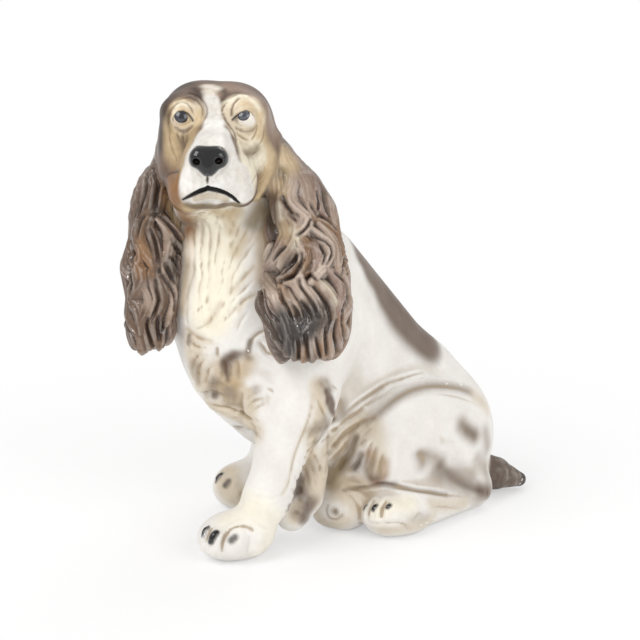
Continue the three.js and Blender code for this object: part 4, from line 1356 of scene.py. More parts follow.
RIGHT_LOCKS = (
    "300,200 230,270 190,350 165,430 150,520 135,600 120,680 100,760 80,850 95,920 140,980",
    "330,220 270,300 250,400 245,480 215,560 170,640 180,720 215,800 200,880",
    "360,250 310,330 295,420 270,510 220,580 205,660 215,740 260,830 300,900 310,970",
    "300,540 270,620 300,700 330,780 330,860 300,950 320,1050 340,1130 310,1220 280,1300",
    "340,560 400,640 420,720 400,820 390,900 420,980 440,1060 440,1150 420,1240 400,1320",
    "420,620 480,690 510,760 530,820 510,900 480,970 450,1030",
    "150,830 180,900 200,980 170,1060 150,1130 190,1210 210,1300 220,1380",
    "130,1120 120,1200 140,1290 180,1370 200,1450 230,1510",
    "330,960 370,1050 380,1140 340,1230 300,1310 310,1400 340,1470",
    "240,1070 270,1150 250,1230 220,1310 250,1400 280,1490",
    "420,1300 400,1390 370,1450 350,1490",
    "430,1010 470,1090 460,1180 450,1260 440,1330",
    "150,640 130,720 140,800",
)


@dataclass
class Tress:
    """A rope of hair on an ear: its line on the skin, half its width, its tone, and how high it lies."""

    line: Array
    radius: float
    tone: Paint
    height: float
    lift: float


@dataclass
class Ears:
    """The hair of the two ears, as ropes that wave down them."""

    head: Head
    waves: Tresses = field(default_factory=Tresses)
    left_tones: tuple[Paint, ...] = (
        Paint.EAR_PALE, Paint.EAR_TAUPE, Paint.EAR_ROSE, Paint.EAR_TAUPE, Paint.EAR_OCHRE,
    )
    right_tones: tuple[Paint, ...] = (
        Paint.EAR_ROSE, Paint.EAR_BROWN, Paint.EAR_OCHRE, Paint.EAR_BROWN, Paint.EAR_TAUPE,
    )
    # Ropes: their size, how much it differs, their narrow ends, and how far they lean to one side.
    tress_height: float = 6.5
    tress_radius: float = 11.0
    wave_height: float = 7.5
    wave_width: float = 1.25
    back_margin: float = 6.0
    least_width: float = 0.85
    more_width: float = 0.35
    most_lift: float = 2.0
    reach: float = 1.9
    valley: float = 0.6
    sunk: float = 0.72
    spacing: float = 5.0
    end_width: float = 0.45
    end_length: float = 22.0
    lean: float = 0.22
    lean_length: float = 17.0
    skew: float = 0.3
    blunt: float = 0.01
    # Strands on a rope: two sets of fine lines, of which the first sways.
    strand_height: float = 0.32
    strand_turn: float = 2.0 / 1.3
    strand_sway: float = 0.9
    strand_length: float = 9.0
    second_turn: float = 1.13
    second_share: float = 0.6
    # Paint: full, a little lightened, on the crown of a rope, and darker towards its sides: painted highlight
    # and painted shade of the rope's roundness.
    painted_crown_light: float = 1.08
    painted_side_shade: float = 0.74
    # The root of the ear, in the head's frame, and how much of relief, strands and paint is left there.
    root_span: Span = (-26.0, -78.0)
    root_relief: float = 0.12
    root_strands: float = 0.4
    root_paint: float = 0.3

    def tresses(
        self, ear: Lock, drawn: Sequence[str], sheet: Sheet, phase: float, seed: int, tones: Sequence[Paint]
    ) -> list[Tress]:
        """All ropes of one ear: those that the sheet shows in front, and the unseen ones round the back.

        Args:
            ear: The ear's plain clay, in the head's frame.
            drawn: Runs of the ropes on the sheet.
            sheet: The sheet that they are drawn on.
            phase: How far round the ear the first of its main waves starts, in degrees.
            seed: Seed of the small differences between ropes.
            tones: Paints that the ropes take in turn.

        Returns:
            The ropes, in the sculptor's frame.
        """
        chance = np.random.default_rng(seed)
        lines = land_all([sheet.read(d) for d in drawn], lambda p: ear.distance(self.head.local(p)))
        front = [(line, self.tress_radius, self.tress_height) for line in lines]
        middle = np.mean(ear.points, 0)[1]
        behind = [run for run in self.waves.lines(ear, phase) if run[:, 1].mean() > middle - self.back_margin]
        wide = self.waves.share * max(ear.radii) * self.wave_width
        back = [(self.head.world(run), wide, self.wave_height) for run in behind]
        ropes = []
        for number, (line, radius, height) in enumerate(front + back):
            width = radius * (self.least_width + self.more_width * chance.random())
            lift = self.most_lift * chance.random()
            ropes.append(Tress(line, width, tones[number % len(tones)], height, lift))
        return ropes

    def lay(self, skin: Skin, ropes: Sequence[Tress], among: Array) -> None:
        """Raises the ropes from the skin of one ear, with their strands and tones.

        Args:
            skin: The skin of the head.
            ropes: The ear's ropes.
            among: How much of each point of the skin belongs to the ear.
        """
        count = len(skin.points)
        best = np.full(count, -self.valley * self.tress_height)
        nearest, strand = np.full(count, self.reach), np.zeros(count)
        tone = np.tile(Paint.EAR_BROWN.linear, (count, 1))
        for number, rope in enumerate(ropes):
            run = eased_run(rope.line, self.spacing)
            hit = trace(run, skin.points, skin.normals, rope.radius * self.reach)
            ends = np.clip(np.minimum(hit.along, hit.length - hit.along) / self.end_length, 0.0, 1.0)
            half = rope.radius * (self.end_width + (1.0 - self.end_width) * ends)
            lean = self.lean * np.sin(hit.along / self.lean_length + number) * half
            across = np.hypot(hit.distance, self.blunt) / half
            across = across * (1.0 + self.skew * np.tanh((hit.side - lean) / half))
            height = rope.lift + rope.height * (1.0 - across * across)
            best[hit.index] = np.maximum(best[hit.index], height)
            closer = across < nearest[hit.index]
            here, side = hit.index[closer], hit.side[closer]
            nearest[here] = across[closer]
            sway = self.strand_sway * np.sin(hit.along[closer] / self.strand_length + 2.0 * number)
            second = self.second_share * np.cos(side * self.second_turn + number)
            strand[here] = np.cos(side * self.strand_turn + sway) + second
            # Painted shade: each rope's paint darkens towards its sides, and is a little lighter on its crown
            # as painted highlight.
            side_shade_share = self.painted_side_shade * np.clip(across[closer], 0.0, 1.0) ** 2
            tone[here] = rope.tone.linear * (self.painted_crown_light - side_shade_share)[:, None]
        below = ease(*self.root_span, self.head.local(skin.points)[:, 2])
        root = self.root_relief + (1.0 - self.root_relief) * below
        relief = root * (best - self.sunk * self.tress_height)
        relief += self.strand_height * strand * (self.root_strands + (1.0 - self.root_strands) * root)
        skin.rise += among * relief
        skin.tint(tone, among * (self.root_paint + (1.0 - self.root_paint) * root))


def cell_size(cell: float) -> float:
    return cell * 1.0


class Statue:
    """The whole figure: clay, tool marks, hair and paint, then its pieces."""

    # From where on a run has its mirror image: the left flank behind the elbow, above the feet.
    FLANK = (30.0, 10.0, 48.0)
    # The back patch: from which height, how it is carried across the spine, and how much it widens there.
    BACK = 170.0
    SPINE = 4.0
    LANES = 11
    BULGE = 0.3
    # The cap's brown on the back of the neck, and its ragged edge.
    NAPE_DROP = (-58.0, -14.0)
    NAPE_BACK = (6.0, 40.0)
    NAPE_RAGGED = 12.0
    NAPE_PATCH = 22.0
    # How dark a paint is glossy, the edges of nose and gaps, the painted shade in the slits between the ears'
    # locks, and chips.
    GLOSSY = (0.045, 0.012)
    NOSE_EDGE = (0.2, 1.1)
    GAP_EDGE = (0.2, 1.2)
    SLIT_WIDTH = 0.8
    SLIT_SOFT = 1.6
    SLIT_STRENGTH = 0.6
    CHIP_WEAR = 0.66
    # Seeds of the ears' ropes, and how far round the ear the first wave starts.
    LEFT_SEED = 3
    LEFT_PHASE = 0.0
    RIGHT_SEED = 5
    RIGHT_PHASE = 180.0

    def __init__(self) -> None:
        """Presses the clay together: the tufts on the plain figure, then the face on the tufted one."""
        self.body, self.head = Body(), Head()
        self.ears = Ears(self.head)
        head_forms = [*self.head.forms(), *self.head.nose_forms()]
        self.head_clay = Clay(head_forms)
        self.body_clay = Clay(self.body.forms())
        self.body_clay = Clay([*self.body.forms(), *[tuft.form(self.figure) for tuft in BODY_TUFTS]])
        self.eyes = Clay([Ball(spot, (self.head.eye_radius,) * 3, 0.1) for spot in self.head.eye_spots()])
        self.face_forms = Face(self.head).forms(self.figure, self.with_eyes)
        self.face_clay = Clay([*head_forms, *self.face_forms])
        self.ear_clay = self.head.ear_forms()

    def joined(self, points: Array, head_clay: Clay) -> Array:
        """Body and one state of the head in one."""
        head = head_clay.distance(self.head.local(points))
        return soft_union(self.body_clay.distance(points), head, self.head.blend)

    def figure(self, points: Array) -> Array:
        """Body and plain head."""
        return self.joined(points, self.head_clay)

    def with_eyes(self, points: Array) -> Array:
        """The plain figure with its eyeballs."""
        return np.minimum(self.figure(points), self.eyes.distance(self.head.local(points)))

    def faced(self, points: Array) -> Array:
        """The figure with its lids, lips and eyeballs."""
        return np.minimum(self.joined(points, self.face_clay), self.eyes.distance(self.head.local(points)))

    def ear_sides(self, points: Array) -> Array:
        """Clay of the left ear and of the right ear, one row each."""
        own = self.head.local(points)
        return np.stack([ear.distance(own) for ear in self.ear_clay])

    def both_ears(self, points: Array) -> Array:
        """Clay of both ears."""
        return self.ear_sides(points).min(0)

    def outside(self, points: Array) -> Array:
        """All that can be seen: the figure and its ears."""
        return np.minimum(self.figure(points), self.both_ears(points))

    def lower(self, points: Array) -> Array:
        """The figure between the floor and the neck joint."""
        cut = np.maximum(self.figure(points), self.head.above_neck(points) - self.head.neck_gap)
        return np.maximum(cut, -points[:, 2])

    def skull(self, points: Array) -> Array:
        """The figure above the neck joint with its face, without the ears."""
        below = -self.head.neck_overlap - self.head.above_neck(points)
        return np.maximum(self.joined(points, self.face_clay), below)

    def upper(self, points: Array) -> Array:
        """The figure above the neck joint, with its face and ears."""
        height = self.head.local(points)[:, 2]
        blend = self.head.ear_blend + self.head.root_blend * ease(*self.head.root_span, height)
        return soft_union(self.skull(points), self.both_ears(points), blend)

    def with_mirror(self, run: Array, clay: Field) -> list[Array]:
        """Repeats a run where the sheets don't show the clay.

        Args:
            run: Points on the clay.
            clay: The clay that they lie on.

        Returns:
            The run: on a flank with its mirror image, on the back in lanes across the spine.
        """
        middle = run.mean(0)
        if middle[1] < self.FLANK[1] or middle[2] < self.FLANK[2]:
            return [run]
        if middle[2] > self.BACK:
            lanes = []
            for lane in np.linspace(1.0, -1.0, self.LANES):
                wide = middle + (run - middle) * (1.0 + self.BULGE * (1.0 - lane * lane))
                lanes.append(settle_on(clay, wide * (lane, 1.0, 1.0) + (0.0, 0.0, self.SPINE)))
            return lanes
        if middle[0] < self.FLANK[0]:
            return [run]
        return [run, settle_on(clay, run * (-1.0, 1.0, 1.0))]

    def dress_body(self) -> tuple[Skin, Array]:
        """Meshes, marks and paints the body.

        Returns:
            The skin, and the number of the casting of each face, -1 where the castings are open.
        """
        body = self.body
        skin = Skin(*mesh_clay(self.lower, body.low, body.high, cell_size(body.cell)), Paint.IVORY)
        middles = skin.points[skin.quads].mean(1)
        level = (middles[:, 2] < body.base_skin) | (self.head.above_neck(middles) > body.neck_skin)
        buried = level & (self.figure(middles) < -body.base_rim)
        back = skin.points[:, 1]
        tail = 1.0 - ease(*body.tail_edge, body.tail().distance(skin.points))
        tail = tail * ease(*body.tail_fade, back)
        nape = self.nape(skin.points)
        self.work(skin, [*BODY_MARKS, *CLAWS], self.figure, COMBS)
        self.colour(skin, [*BODY_SPRAYS, *CLAW_SPRAYS], self.figure, 1.0 - tail)
        skin.gloss = ease(*self.GLOSSY, skin.colour.max(1))
        skin.tint(Paint.TAIL.linear, tail)
        skin.tint(Paint.SOOT.linear, tail * ease(*body.tip_fade, back))
        skin.tint(Paint.CAP.linear, nape)
        self.chip(skin)
        skin.press()
        return skin, np.where(buried, -1, body.part_of(middles))

    def dress_head(self) -> tuple[Skin, Array]:
        """Meshes, marks and paints the head and its ears.

        Returns:
            The skin, and the number of the casting of each face.
        """
        head = self.head
        skin = Skin(*mesh_clay(self.upper, head.low, head.high, cell_size(head.cell)), Paint.CAP)
        sides, skull = self.ear_sides(skin.points), self.skull(skin.points)
        on_left = sides[0] < sides[1]
        is_ear = ease(-head.ear_edge, head.ear_edge, skull - sides.min(0))
        numbers = [part.number for part in (Part.HEAD, Part.LEFT_EAR, Part.RIGHT_EAR)]
        castings = np.select([skull < sides.min(0), on_left], numbers[:2], numbers[2])[skin.quads]
        neck = ease(*head.neck_fade, head.above_neck(skin.points)) * (1.0 - is_ear)
        skin.tint(Paint.IVORY.linear, neck * (1.0 - self.nape(skin.points)))
        self.dress_ears(skin, is_ear * on_left, is_ear * ~on_left)
        self.work(skin, FACE_MARKS, self.faced)
        self.work(skin, EAR_SLITS, self.both_ears)
        # Painted shade: dark paint along the slits between the ears' locks.
        slit_shade = [
            Spray(Paint.CAP_DARK, self.SLIT_WIDTH * slit.width, self.SLIT_SOFT, self.SLIT_STRENGTH, slit.run)
            for slit in EAR_SLITS
        ]
        self.colour(skin, FACE_SPRAYS, self.faced, 1.0 - is_ear)
        self.colour(skin, BODY_SPRAYS, self.figure, neck)
        self.colour(skin, [*EAR_SPRAYS, *slit_shade], self.both_ears, is_ear)
        self.paint_face(skin)
        self.chip(skin)
        skin.press()
        mostly_head = (castings == Part.HEAD.number).sum(1) > 1
        return skin, np.where(mostly_head, Part.HEAD.number, castings.max(1))

    def dress_ears(self, skin: Skin, left: Array, right: Array) -> None:
        """Lays the ropes of hair on the points of the left and of the right ear."""
        ears, (left_clay, right_clay) = self.ears, self.ear_clay
        left_ropes = ears.tresses(
            left_clay, LEFT_LOCKS, Sheet.LEFT_EAR, self.LEFT_PHASE, self.LEFT_SEED, ears.left_tones
        )
        right_ropes = ears.tresses(
            right_clay, RIGHT_LOCKS, Sheet.RIGHT_EAR, self.RIGHT_PHASE, self.RIGHT_SEED, ears.right_tones
        )
        ears.lay(skin, left_ropes, left)
        ears.lay(skin, right_ropes, right)

    def nape(self, points: Array) -> Array:
        """Share of the cap's brown on the back of the neck, ragged below."""
        ragged = self.NAPE_RAGGED * Noise.at(points / self.NAPE_PATCH)
        fade = ease(*self.NAPE_DROP, self.head.above_neck(points) + ragged)
        return fade * ease(*self.NAPE_BACK, self.head.local(points)[:, 1] + ragged)

    def work(self, skin: Skin, tool_marks: Sequence[Mark], clay: Field, combs: Sequence[Comb] = ()) -> None:
        """Works tool marks, and combed hair where given, into the relief of a skin."""
        for tool_mark, run in zip(tool_marks, land_all([mark.run for mark in tool_marks], clay)):
            for each in self.with_mirror(run, clay):
                skin.mark(tool_mark, each)
        for comb in combs:
            skin.comb(comb, VIEW.land(comb.run, clay))

    def colour(self, skin: Skin, coats: Sequence[Spray], clay: Field, among: Array) -> None:
        """Sprays coats of paint on some points of a skin."""
        for coat, run in zip(coats, land_all([coat.run for coat in coats], clay)):
            for each in self.with_mirror(run, clay):
                skin.spray(coat, each, among)

    def chip(self, skin: Skin) -> None:
        """Notes where the paint is chipped."""
        for coat, run in zip(CHIPS, land_all([coat.run for coat in CHIPS], self.outside)):
            reach = coat.radius + coat.soft
            hit = trace(eased_run(run), skin.points, skin.normals, reach)
            wear = self.CHIP_WEAR * (1.0 - ease(0.0, reach, hit.distance))
            skin.wear[hit.index] = np.maximum(skin.wear[hit.index], wear)

    def paint_face(self, skin: Skin) -> None:
        """Paints the nose, the nostrils and the mouth gap by their forms."""
        own = self.head.local(skin.points)
        nose = Clay(self.head.nose_forms())
        share = 1.0 - ease(*self.NOSE_EDGE, nose.distance(own))
        skin.tint(Paint.BLACK.linear, share)
        skin.gloss = np.maximum(skin.gloss, share)
        for gap in self.face_forms:
            if gap.cut:
                share = 1.0 - ease(*self.GAP_EDGE, gap.distance(own))
                skin.tint(Paint.GAP.linear, share)
                skin.gloss *= 1.0 - share


Socket = bpy.types.NodeSocket
Feeds = dict[str | int, object]
Rgba = tuple[float, float, float, float]
FULL_WHITE: Rgba = (1.0, 1.0, 1.0, 1.0)


def opaque(rgb: Rgb) -> Rgba:
    """A colour as it looks, turned into light, with full alpha."""
    return (*light(rgb), 1.0)


class Graph:
    """Short hand for building a node tree."""

    def __init__(self, tree: bpy.types.NodeTree) -> None:
        """Works on a tree."""
        self.tree = tree

    def put(self, kind: str, feeds: Feeds | None = None, **settings: object) -> bpy.types.Node:
        """Adds a node.

        Args:
            kind: Node type, without its ShaderNode.
            feeds: Inputs by name or number: a socket is linked, anything else is set.
            settings: Properties of the node.

        Returns:
            The node.
        """
        node = self.tree.nodes.new(kind if kind.startswith("Node") else "ShaderNode" + kind)
        for name, value in settings.items():
            setattr(node, name, value)
        self.feed(node, feeds or {})
        return node

    def feed(self, node: bpy.types.Node, feeds: Feeds) -> None:
        """Links sockets to a node's inputs, and sets the inputs that are given a value."""
        for name, value in feeds.items():
            if isinstance(value, Socket):
                self.tree.links.new(value, node.inputs[name])
            else:
                node.inputs[name].default_value = value

    def maths(self, operation: str, *feeds: object) -> Socket:
        """Result of a sum on one or two values."""
        return self.put("Math", dict(enumerate(feeds)), operation=operation).outputs[0]

    def plus(self, first: object, second: object) -> Socket:
        """Sum of two values."""
        return self.maths("ADD", first, second)

    def minus(self, first: object, second: object) -> Socket:
        """The first value less the second."""
        return self.maths("SUBTRACT", first, second)

    def times(self, product: object, *others: object) -> Socket:
        """Product of values."""
        for other in others:
            product = self.maths("MULTIPLY", product, other)
        return product

    def span(
        self, value: Socket, low: float, high: float, to_low: float = 0.0, to_high: float = 1.0
    ) -> Socket:
        """The value carried from one span to another, held at the ends."""
        feeds = {"Value": value, "From Min": low, "From Max": high, "To Min": to_low, "To Max": to_high}
        return self.put("MapRange", feeds, clamp=True).outputs[0]

    def mix(self, share: object, first: object, second: object, how: str = "MIX") -> Socket:
        """Two colours mixed."""
        return self.put("Mix", {0: share, 6: first, 7: second}, data_type="RGBA", blend_type=how).outputs[2]

    def noise(self, scale: float, detail: float = 3.0, stretch: Point = (1.0, 1.0, 1.0)) -> Socket:
        """Noise over the object, stretched if asked."""
        spot = self.put("TexCoord").outputs["Object"]
        if stretch != (1.0, 1.0, 1.0):
            spot = self.put("Mapping", {"Vector": spot, "Scale": stretch}).outputs[0]
        return self.put("TexNoise", {"Vector": spot, "Scale": scale, "Detail": detail}).outputs["Fac"]

    def swing(self, scale: float, detail: float, amount: float) -> Socket:
        """Noise round 0, by no more than half the amount each way."""
        return self.times(self.minus(self.noise(scale, detail), 0.5), amount)

    def held(self, name: str, output: str = "Fac") -> Socket:
        """What the points of the piece hold under a name."""
        return self.put("Attribute", attribute_name=name).outputs[output]

    def bump(self, height: Socket, strength: float, distance: float) -> Socket:
        """Normals of a relief."""
        return self.put("Bump", {"Height": height, "Strength": strength, "Distance": distance}).outputs[0]

    def shade(self, feeds: Feeds) -> None:
        """Feeds the shader of a new material."""
        self.feed(self.tree.nodes["Principled BSDF"], feeds)


def new_material(name: str) -> tuple[bpy.types.Material, Graph]:
    """A new material, and the graph of its nodes."""
    made = bpy.data.materials.new(name)
    made.use_nodes = True
    return made, Graph(made.node_tree)


class Effect(Enum):
    """Shared node groups: inputs and outputs by name, each a colour, "c", or a value, "v"."""

    MOTTLE = ("paint_mottle", {"Paint": "c", "Amount": "v", "Gloss": "v"}, {"Colour": "c"})
    # The wash darkens the hollows: partly a thin dark paint, partly painted shade.
    WASH = ("hollow_wash", {"Paint": "c", "Wash": "c", "Hollow": "v", "Amount": "v"}, {"Colour": "c"})
    # The rub lightens the ridges: partly pale dry paint, partly painted highlight.
    RUB = ("ridge_rub", {"Paint": "c", "Hollow": "v", "Amount": "v", "Gloss": "v"}, {"Colour": "c"})
    CHIP = ("worn_chips", {"Paint": "c", "Wear": "v"}, {"Colour": "c", "Mask": "v"})
    SHEEN = ("varnish_sheen", {"Plain": "v", "Gloss": "v", "Chips": "v"}, {"Roughness": "v"})
    RELIEF = ("brush_relief", {"Chips": "v"}, {"Height": "v"})

    def tree(self) -> bpy.types.NodeTree:
        """The group, made on its first use."""
        name, inputs, outputs = self.value
        found = bpy.data.node_groups.get(name)
        if found:
            return found
        tree = bpy.data.node_groups.new(name, "ShaderNodeTree")
        kinds = {"c": "NodeSocketColor", "v": "NodeSocketFloat"}
        for side, names in (("INPUT", inputs), ("OUTPUT", outputs)):
            for socket, kind in names.items():
                tree.interface.new_socket(socket, in_out=side, socket_type=kinds[kind])
        graph = Graph(tree)
        given = graph.put("NodeGroupInput").outputs
        results = getattr(self, "make_" + self.name.lower())(graph, given)
        graph.put("NodeGroupOutput", dict(zip(outputs, results)))
        return tree

    def use(self, graph: Graph, **feeds: object) -> Sequence[Socket]:
        """Outputs of the group, fed as named."""
        return graph.put("Group", feeds, node_tree=self.tree()).outputs

    @staticmethod
    def make_mottle(graph: Graph, given: Sequence[Socket]) -> list[Socket]:
        """Cloudy light and dark places in the paint."""
        fine_share, streak_share = 0.45, 0.4
        dark, bright = opaque((206, 198, 188)), (1.5, 1.45, 1.35, 1.0)
        fine = graph.times(graph.noise(scale=210.0, detail=4.0), fine_share)
        cloud = graph.span(graph.plus(graph.noise(scale=34.0, detail=6.0), fine), low=0.5, high=0.95)
        streaks = graph.noise(scale=70.0, detail=5.0, stretch=(1.0, 1.0, 0.35))
        matt = graph.minus(1.0, given["Gloss"])
        deep = graph.times(cloud, given["Amount"], matt)
        pale = graph.times(graph.span(streaks, low=0.52, high=0.78), given["Amount"], matt, streak_share)
        clouded = graph.mix(deep, given["Paint"], graph.mix(1.0, given["Paint"], dark, "MULTIPLY"))
        return [graph.mix(pale, clouded, graph.mix(1.0, given["Paint"], bright, "MULTIPLY"))]

    @staticmethod
    def make_wash(graph: Graph, given: Sequence[Socket]) -> list[Socket]:
        """Thin dark paint that has run into the hollows, which also stands in as painted shade there."""
        ragged = graph.swing(scale=130.0, detail=4.0, amount=0.2)
        depth = graph.span(graph.plus(given["Hollow"], ragged), low=0.1, high=1.4)
        return [graph.mix(graph.times(depth, given["Amount"]), given["Paint"], given["Wash"], "DARKEN")]

    @staticmethod
    def make_rub(graph: Graph, given: Sequence[Socket]) -> list[Socket]:
        """Pale dry paint brushed over the ridges, which also stands in as painted highlight there."""
        ridge = graph.span(graph.times(given["Hollow"], -1.0), low=0.1, high=0.9)
        patches = graph.noise(scale=160.0, detail=5.0, stretch=(1.0, 1.0, 0.4))
        matt = graph.times(given["Amount"], graph.minus(1.0, given["Gloss"]))
        share = graph.times(ridge, graph.span(patches, low=0.38, high=0.62), matt)
        return [graph.mix(share, given["Paint"], opaque((236, 228, 218)))]

    @staticmethod
    def make_chip(graph: Graph, given: Sequence[Socket]) -> list[Socket]:
        """Chips that show the white plaster."""
        ragged_share = 1.1
        ragged = graph.times(graph.noise(scale=420.0, detail=6.0), ragged_share)
        mask = graph.span(graph.minus(given["Wear"], ragged), low=0.0, high=0.06)
        return [graph.mix(mask, given["Paint"], opaque((238, 236, 232))), mask]

    @staticmethod
    def make_sheen(graph: Graph, given: Sequence[Socket]) -> list[Socket]:
        """Uneven varnish, smooth where it lies thick and dull in chips."""
        smoother, duller, smoothest = 0.36, 0.4, 0.12
        plain = graph.plus(given["Plain"], graph.swing(scale=48.0, detail=5.0, amount=0.3))
        glossy = graph.minus(plain, graph.times(given["Gloss"], smoother))
        chipped = graph.plus(glossy, graph.times(given["Chips"], duller))
        return [graph.maths("MAXIMUM", chipped, smoothest)]

    @staticmethod
    def make_relief(graph: Graph, given: Sequence[Socket]) -> list[Socket]:
        """Brush strokes and the grain of plaster, with chips sunk in."""
        stroke_height, grain_height = 0.5, 0.3
        strokes = graph.times(graph.noise(scale=240.0, detail=3.0, stretch=(1.0, 0.5, 0.3)), stroke_height)
        grain = graph.times(graph.noise(scale=1300.0, detail=2.0), grain_height)
        return [graph.minus(graph.plus(strokes, grain), given["Chips"])]


@dataclass(frozen=True)
class PlasterFinish:
    """Painted and varnished plaster, with painted shade in its hollows and painted highlight on its ridges.
    The paint itself lies on the points of the piece.
    """

    name: str
    # wash: colour and amount of the darkening in the hollows, partly thin paint and partly painted shade.
    wash: Rgb
    wash_and_shade_amount: float
    mottle: float
    # rub: how much the ridges are lightened, partly pale dry paint and partly painted highlight.
    rub: float
    roughness: float
    coat: float
    coat_roughness: float = 0.09
    specular: float = 0.2
    bump_strength: float = 0.35
    bump_distance: float = 0.0005

    def material(self) -> bpy.types.Material:
        """The material, made on its first use."""
        found = bpy.data.materials.get(self.name)
        if found:
            return found
        made, graph = new_material(self.name)
        gloss, hollow = graph.held("gloss"), graph.held("hollow")
        plain = Effect.MOTTLE.use(graph, Paint=graph.held("paint", "Color"), Amount=self.mottle, Gloss=gloss)
        # Painted shade: the hollows take the darker wash colour.
        washed_and_shaded = Effect.WASH.use(
            graph, Paint=plain["Colour"], Wash=opaque(self.wash), Hollow=hollow, Amount=self.wash_and_shade_amount
        )
        # Painted highlight: the ridges are lightened with pale paint.
        rubbed_and_lit = Effect.RUB.use(graph, Paint=washed_and_shaded["Colour"], Hollow=hollow, Amount=self.rub, Gloss=gloss)
        chips = Effect.CHIP.use(graph, Paint=rubbed_and_lit["Colour"], Wear=graph.held("wear"))
        sheen = Effect.SHEEN.use(graph, Plain=self.roughness, Gloss=gloss, Chips=chips["Mask"])
        relief = Effect.RELIEF.use(graph, Chips=chips["Mask"])
        graph.shade({
            "Base Color": chips["Colour"],
            "Roughness": sheen["Roughness"],
            "Normal": graph.bump(relief["Height"], self.bump_strength, self.bump_distance),
            "Coat Weight": graph.span(gloss, 0.0, 1.0, self.coat, 1.0),
            "Coat Roughness": self.coat_roughness,
            "Specular IOR Level": self.specular,
        })
        return made


@dataclass(frozen=True)
class EyeFinish:
    """A painted and thickly varnished eye, its rings measured from the line of its gaze."""

    name: str
    iris: Rgb
    pupil: Rgb
    size: float
    white: Rgb
    rim: Rgb = (34, 32, 33)
    coat: float = 0.6
    coat_roughness: float = 0.05

    def rings(self) -> tuple[tuple[float, Rgb], ...]:
        """Colours from the middle outwards, with their places in parts of the painted size."""
        return (
            (0.0, self.pupil), (0.45, self.pupil), (0.6, self.iris), (0.86, self.iris), (0.97, self.rim),
            (1.06, self.rim), (1.14, self.white),
        )

    def material(self, radius: float) -> bpy.types.Material:
        """Makes the material.

        Args:
            radius: Radius of the eye, in metres.

        Returns:
            The material.
        """
        made, graph = new_material(self.name)
        spot = graph.put("SeparateXYZ", {0: graph.put("TexCoord").outputs["Object"]}).outputs
        squares = [graph.maths("POWER", axis, 2.0) for axis in spot[:2]]
        away = graph.maths("DIVIDE", graph.maths("SQRT", graph.plus(*squares)), radius)
        ramp = graph.put("ValToRGB", {0: graph.plus(away, graph.swing(scale=700.0, detail=3.0, amount=0.05))})
        stops = ramp.color_ramp.elements
        for number, (place, rgb) in enumerate(self.rings()):
            stop = stops[number] if number < 2 else stops.new(place * self.size)
            stop.position, stop.color = place * self.size, opaque(rgb)
        graph.shade({
            "Base Color": ramp.outputs[0],
            "Roughness": graph.span(graph.noise(scale=300.0), low=0.3, high=0.7, to_low=0.1, to_high=0.2),
            "Coat Weight": self.coat,
            "Coat Roughness": self.coat_roughness,
        })
        return made


@dataclass(frozen=True)
class HiddenFinish:
    """A material for what the castings hide: brown board, or wire with rust."""

    name: str
    pale: Rgb
    dark: Rgb
    scale: float
    stretch: Point
    metallic: float
    roughness: float
    rougher: float = 0.2
    bump_strength: float = 0.3
    bump_distance: float = 0.0004

    def material(self) -> bpy.types.Material:
        """The material."""
        made, graph = new_material(self.name)
        streaks = graph.noise(self.scale, detail=6.0, stretch=self.stretch)
        worn = graph.span(streaks, low=0.35, high=0.65)
        graph.shade({
            "Base Color": graph.mix(worn, opaque(self.pale), opaque(self.dark)),
            "Roughness": graph.span(streaks, 0.3, 0.7, self.roughness, self.roughness + self.rougher),
            "Normal": graph.bump(streaks, self.bump_strength, self.bump_distance),
            "Metallic": self.metallic,
        })
        return made


IVORY_FINISH = PlasterFinish(
    "ivory_plaster", wash=(172, 152, 126), wash_and_shade_amount=0.75, mottle=0.25, rub=0.12, roughness=0.48, coat=0.1
)
HEAD_FINISH = PlasterFinish(
    "tan_plaster", wash=(104, 84, 66), wash_and_shade_amount=0.75, mottle=0.8, rub=0.12, roughness=0.44, coat=0.15
)
EAR_FINISH = PlasterFinish(
    "brown_plaster", wash=(46, 35, 29), wash_and_shade_amount=0.9, mottle=0.6, rub=0.2, roughness=0.32, coat=0.7
)
TAIL_FINISH = PlasterFinish(
    "dark_brown_plaster", wash=(52, 42, 36), wash_and_shade_amount=0.9, mottle=0.4, rub=0.2, roughness=0.44, coat=0.2
)
# The left eye's iris and pupil are painted lighter than the right eye's: a painted reflection of a lamp on
# it.
LEFT_EYE_FINISH = EyeFinish(
    "left_eye_varnish", iris=(88, 91, 98), pupil=(58, 60, 66), size=0.5, white=(236, 229, 219)
)
RIGHT_EYE_FINISH = EyeFinish(
    "right_eye_varnish", iris=(60, 62, 70), pupil=(30, 30, 36), size=0.58, white=(208, 191, 170)
)
BOARD_FINISH = HiddenFinish(
    "sleeve_card", pale=(176, 146, 108), dark=(140, 112, 80), scale=90.0, stretch=(1.0, 1.0, 4.0),
    metallic=0.0, roughness=0.7,
)
WIRE_FINISH = HiddenFinish(
    "rod_wire", pale=(150, 148, 146), dark=(112, 84, 62), scale=300.0, stretch=(1.0, 1.0, 0.2),
    metallic=0.9, roughness=0.35,
)

FINISHES: dict[Part, tuple[PlasterFinish, str]] = {part: (IVORY_FINISH, "ivory_paint") for part in Part}
FINISHES |= {
    Part.TAIL: (TAIL_FINISH, "dark_brown_paint"),
    Part.HEAD: (HEAD_FINISH, "tan_paint"),
    Part.LEFT_EAR: (EAR_FINISH, "brown_paint"),
    Part.RIGHT_EAR: (EAR_FINISH, "brown_paint"),
}


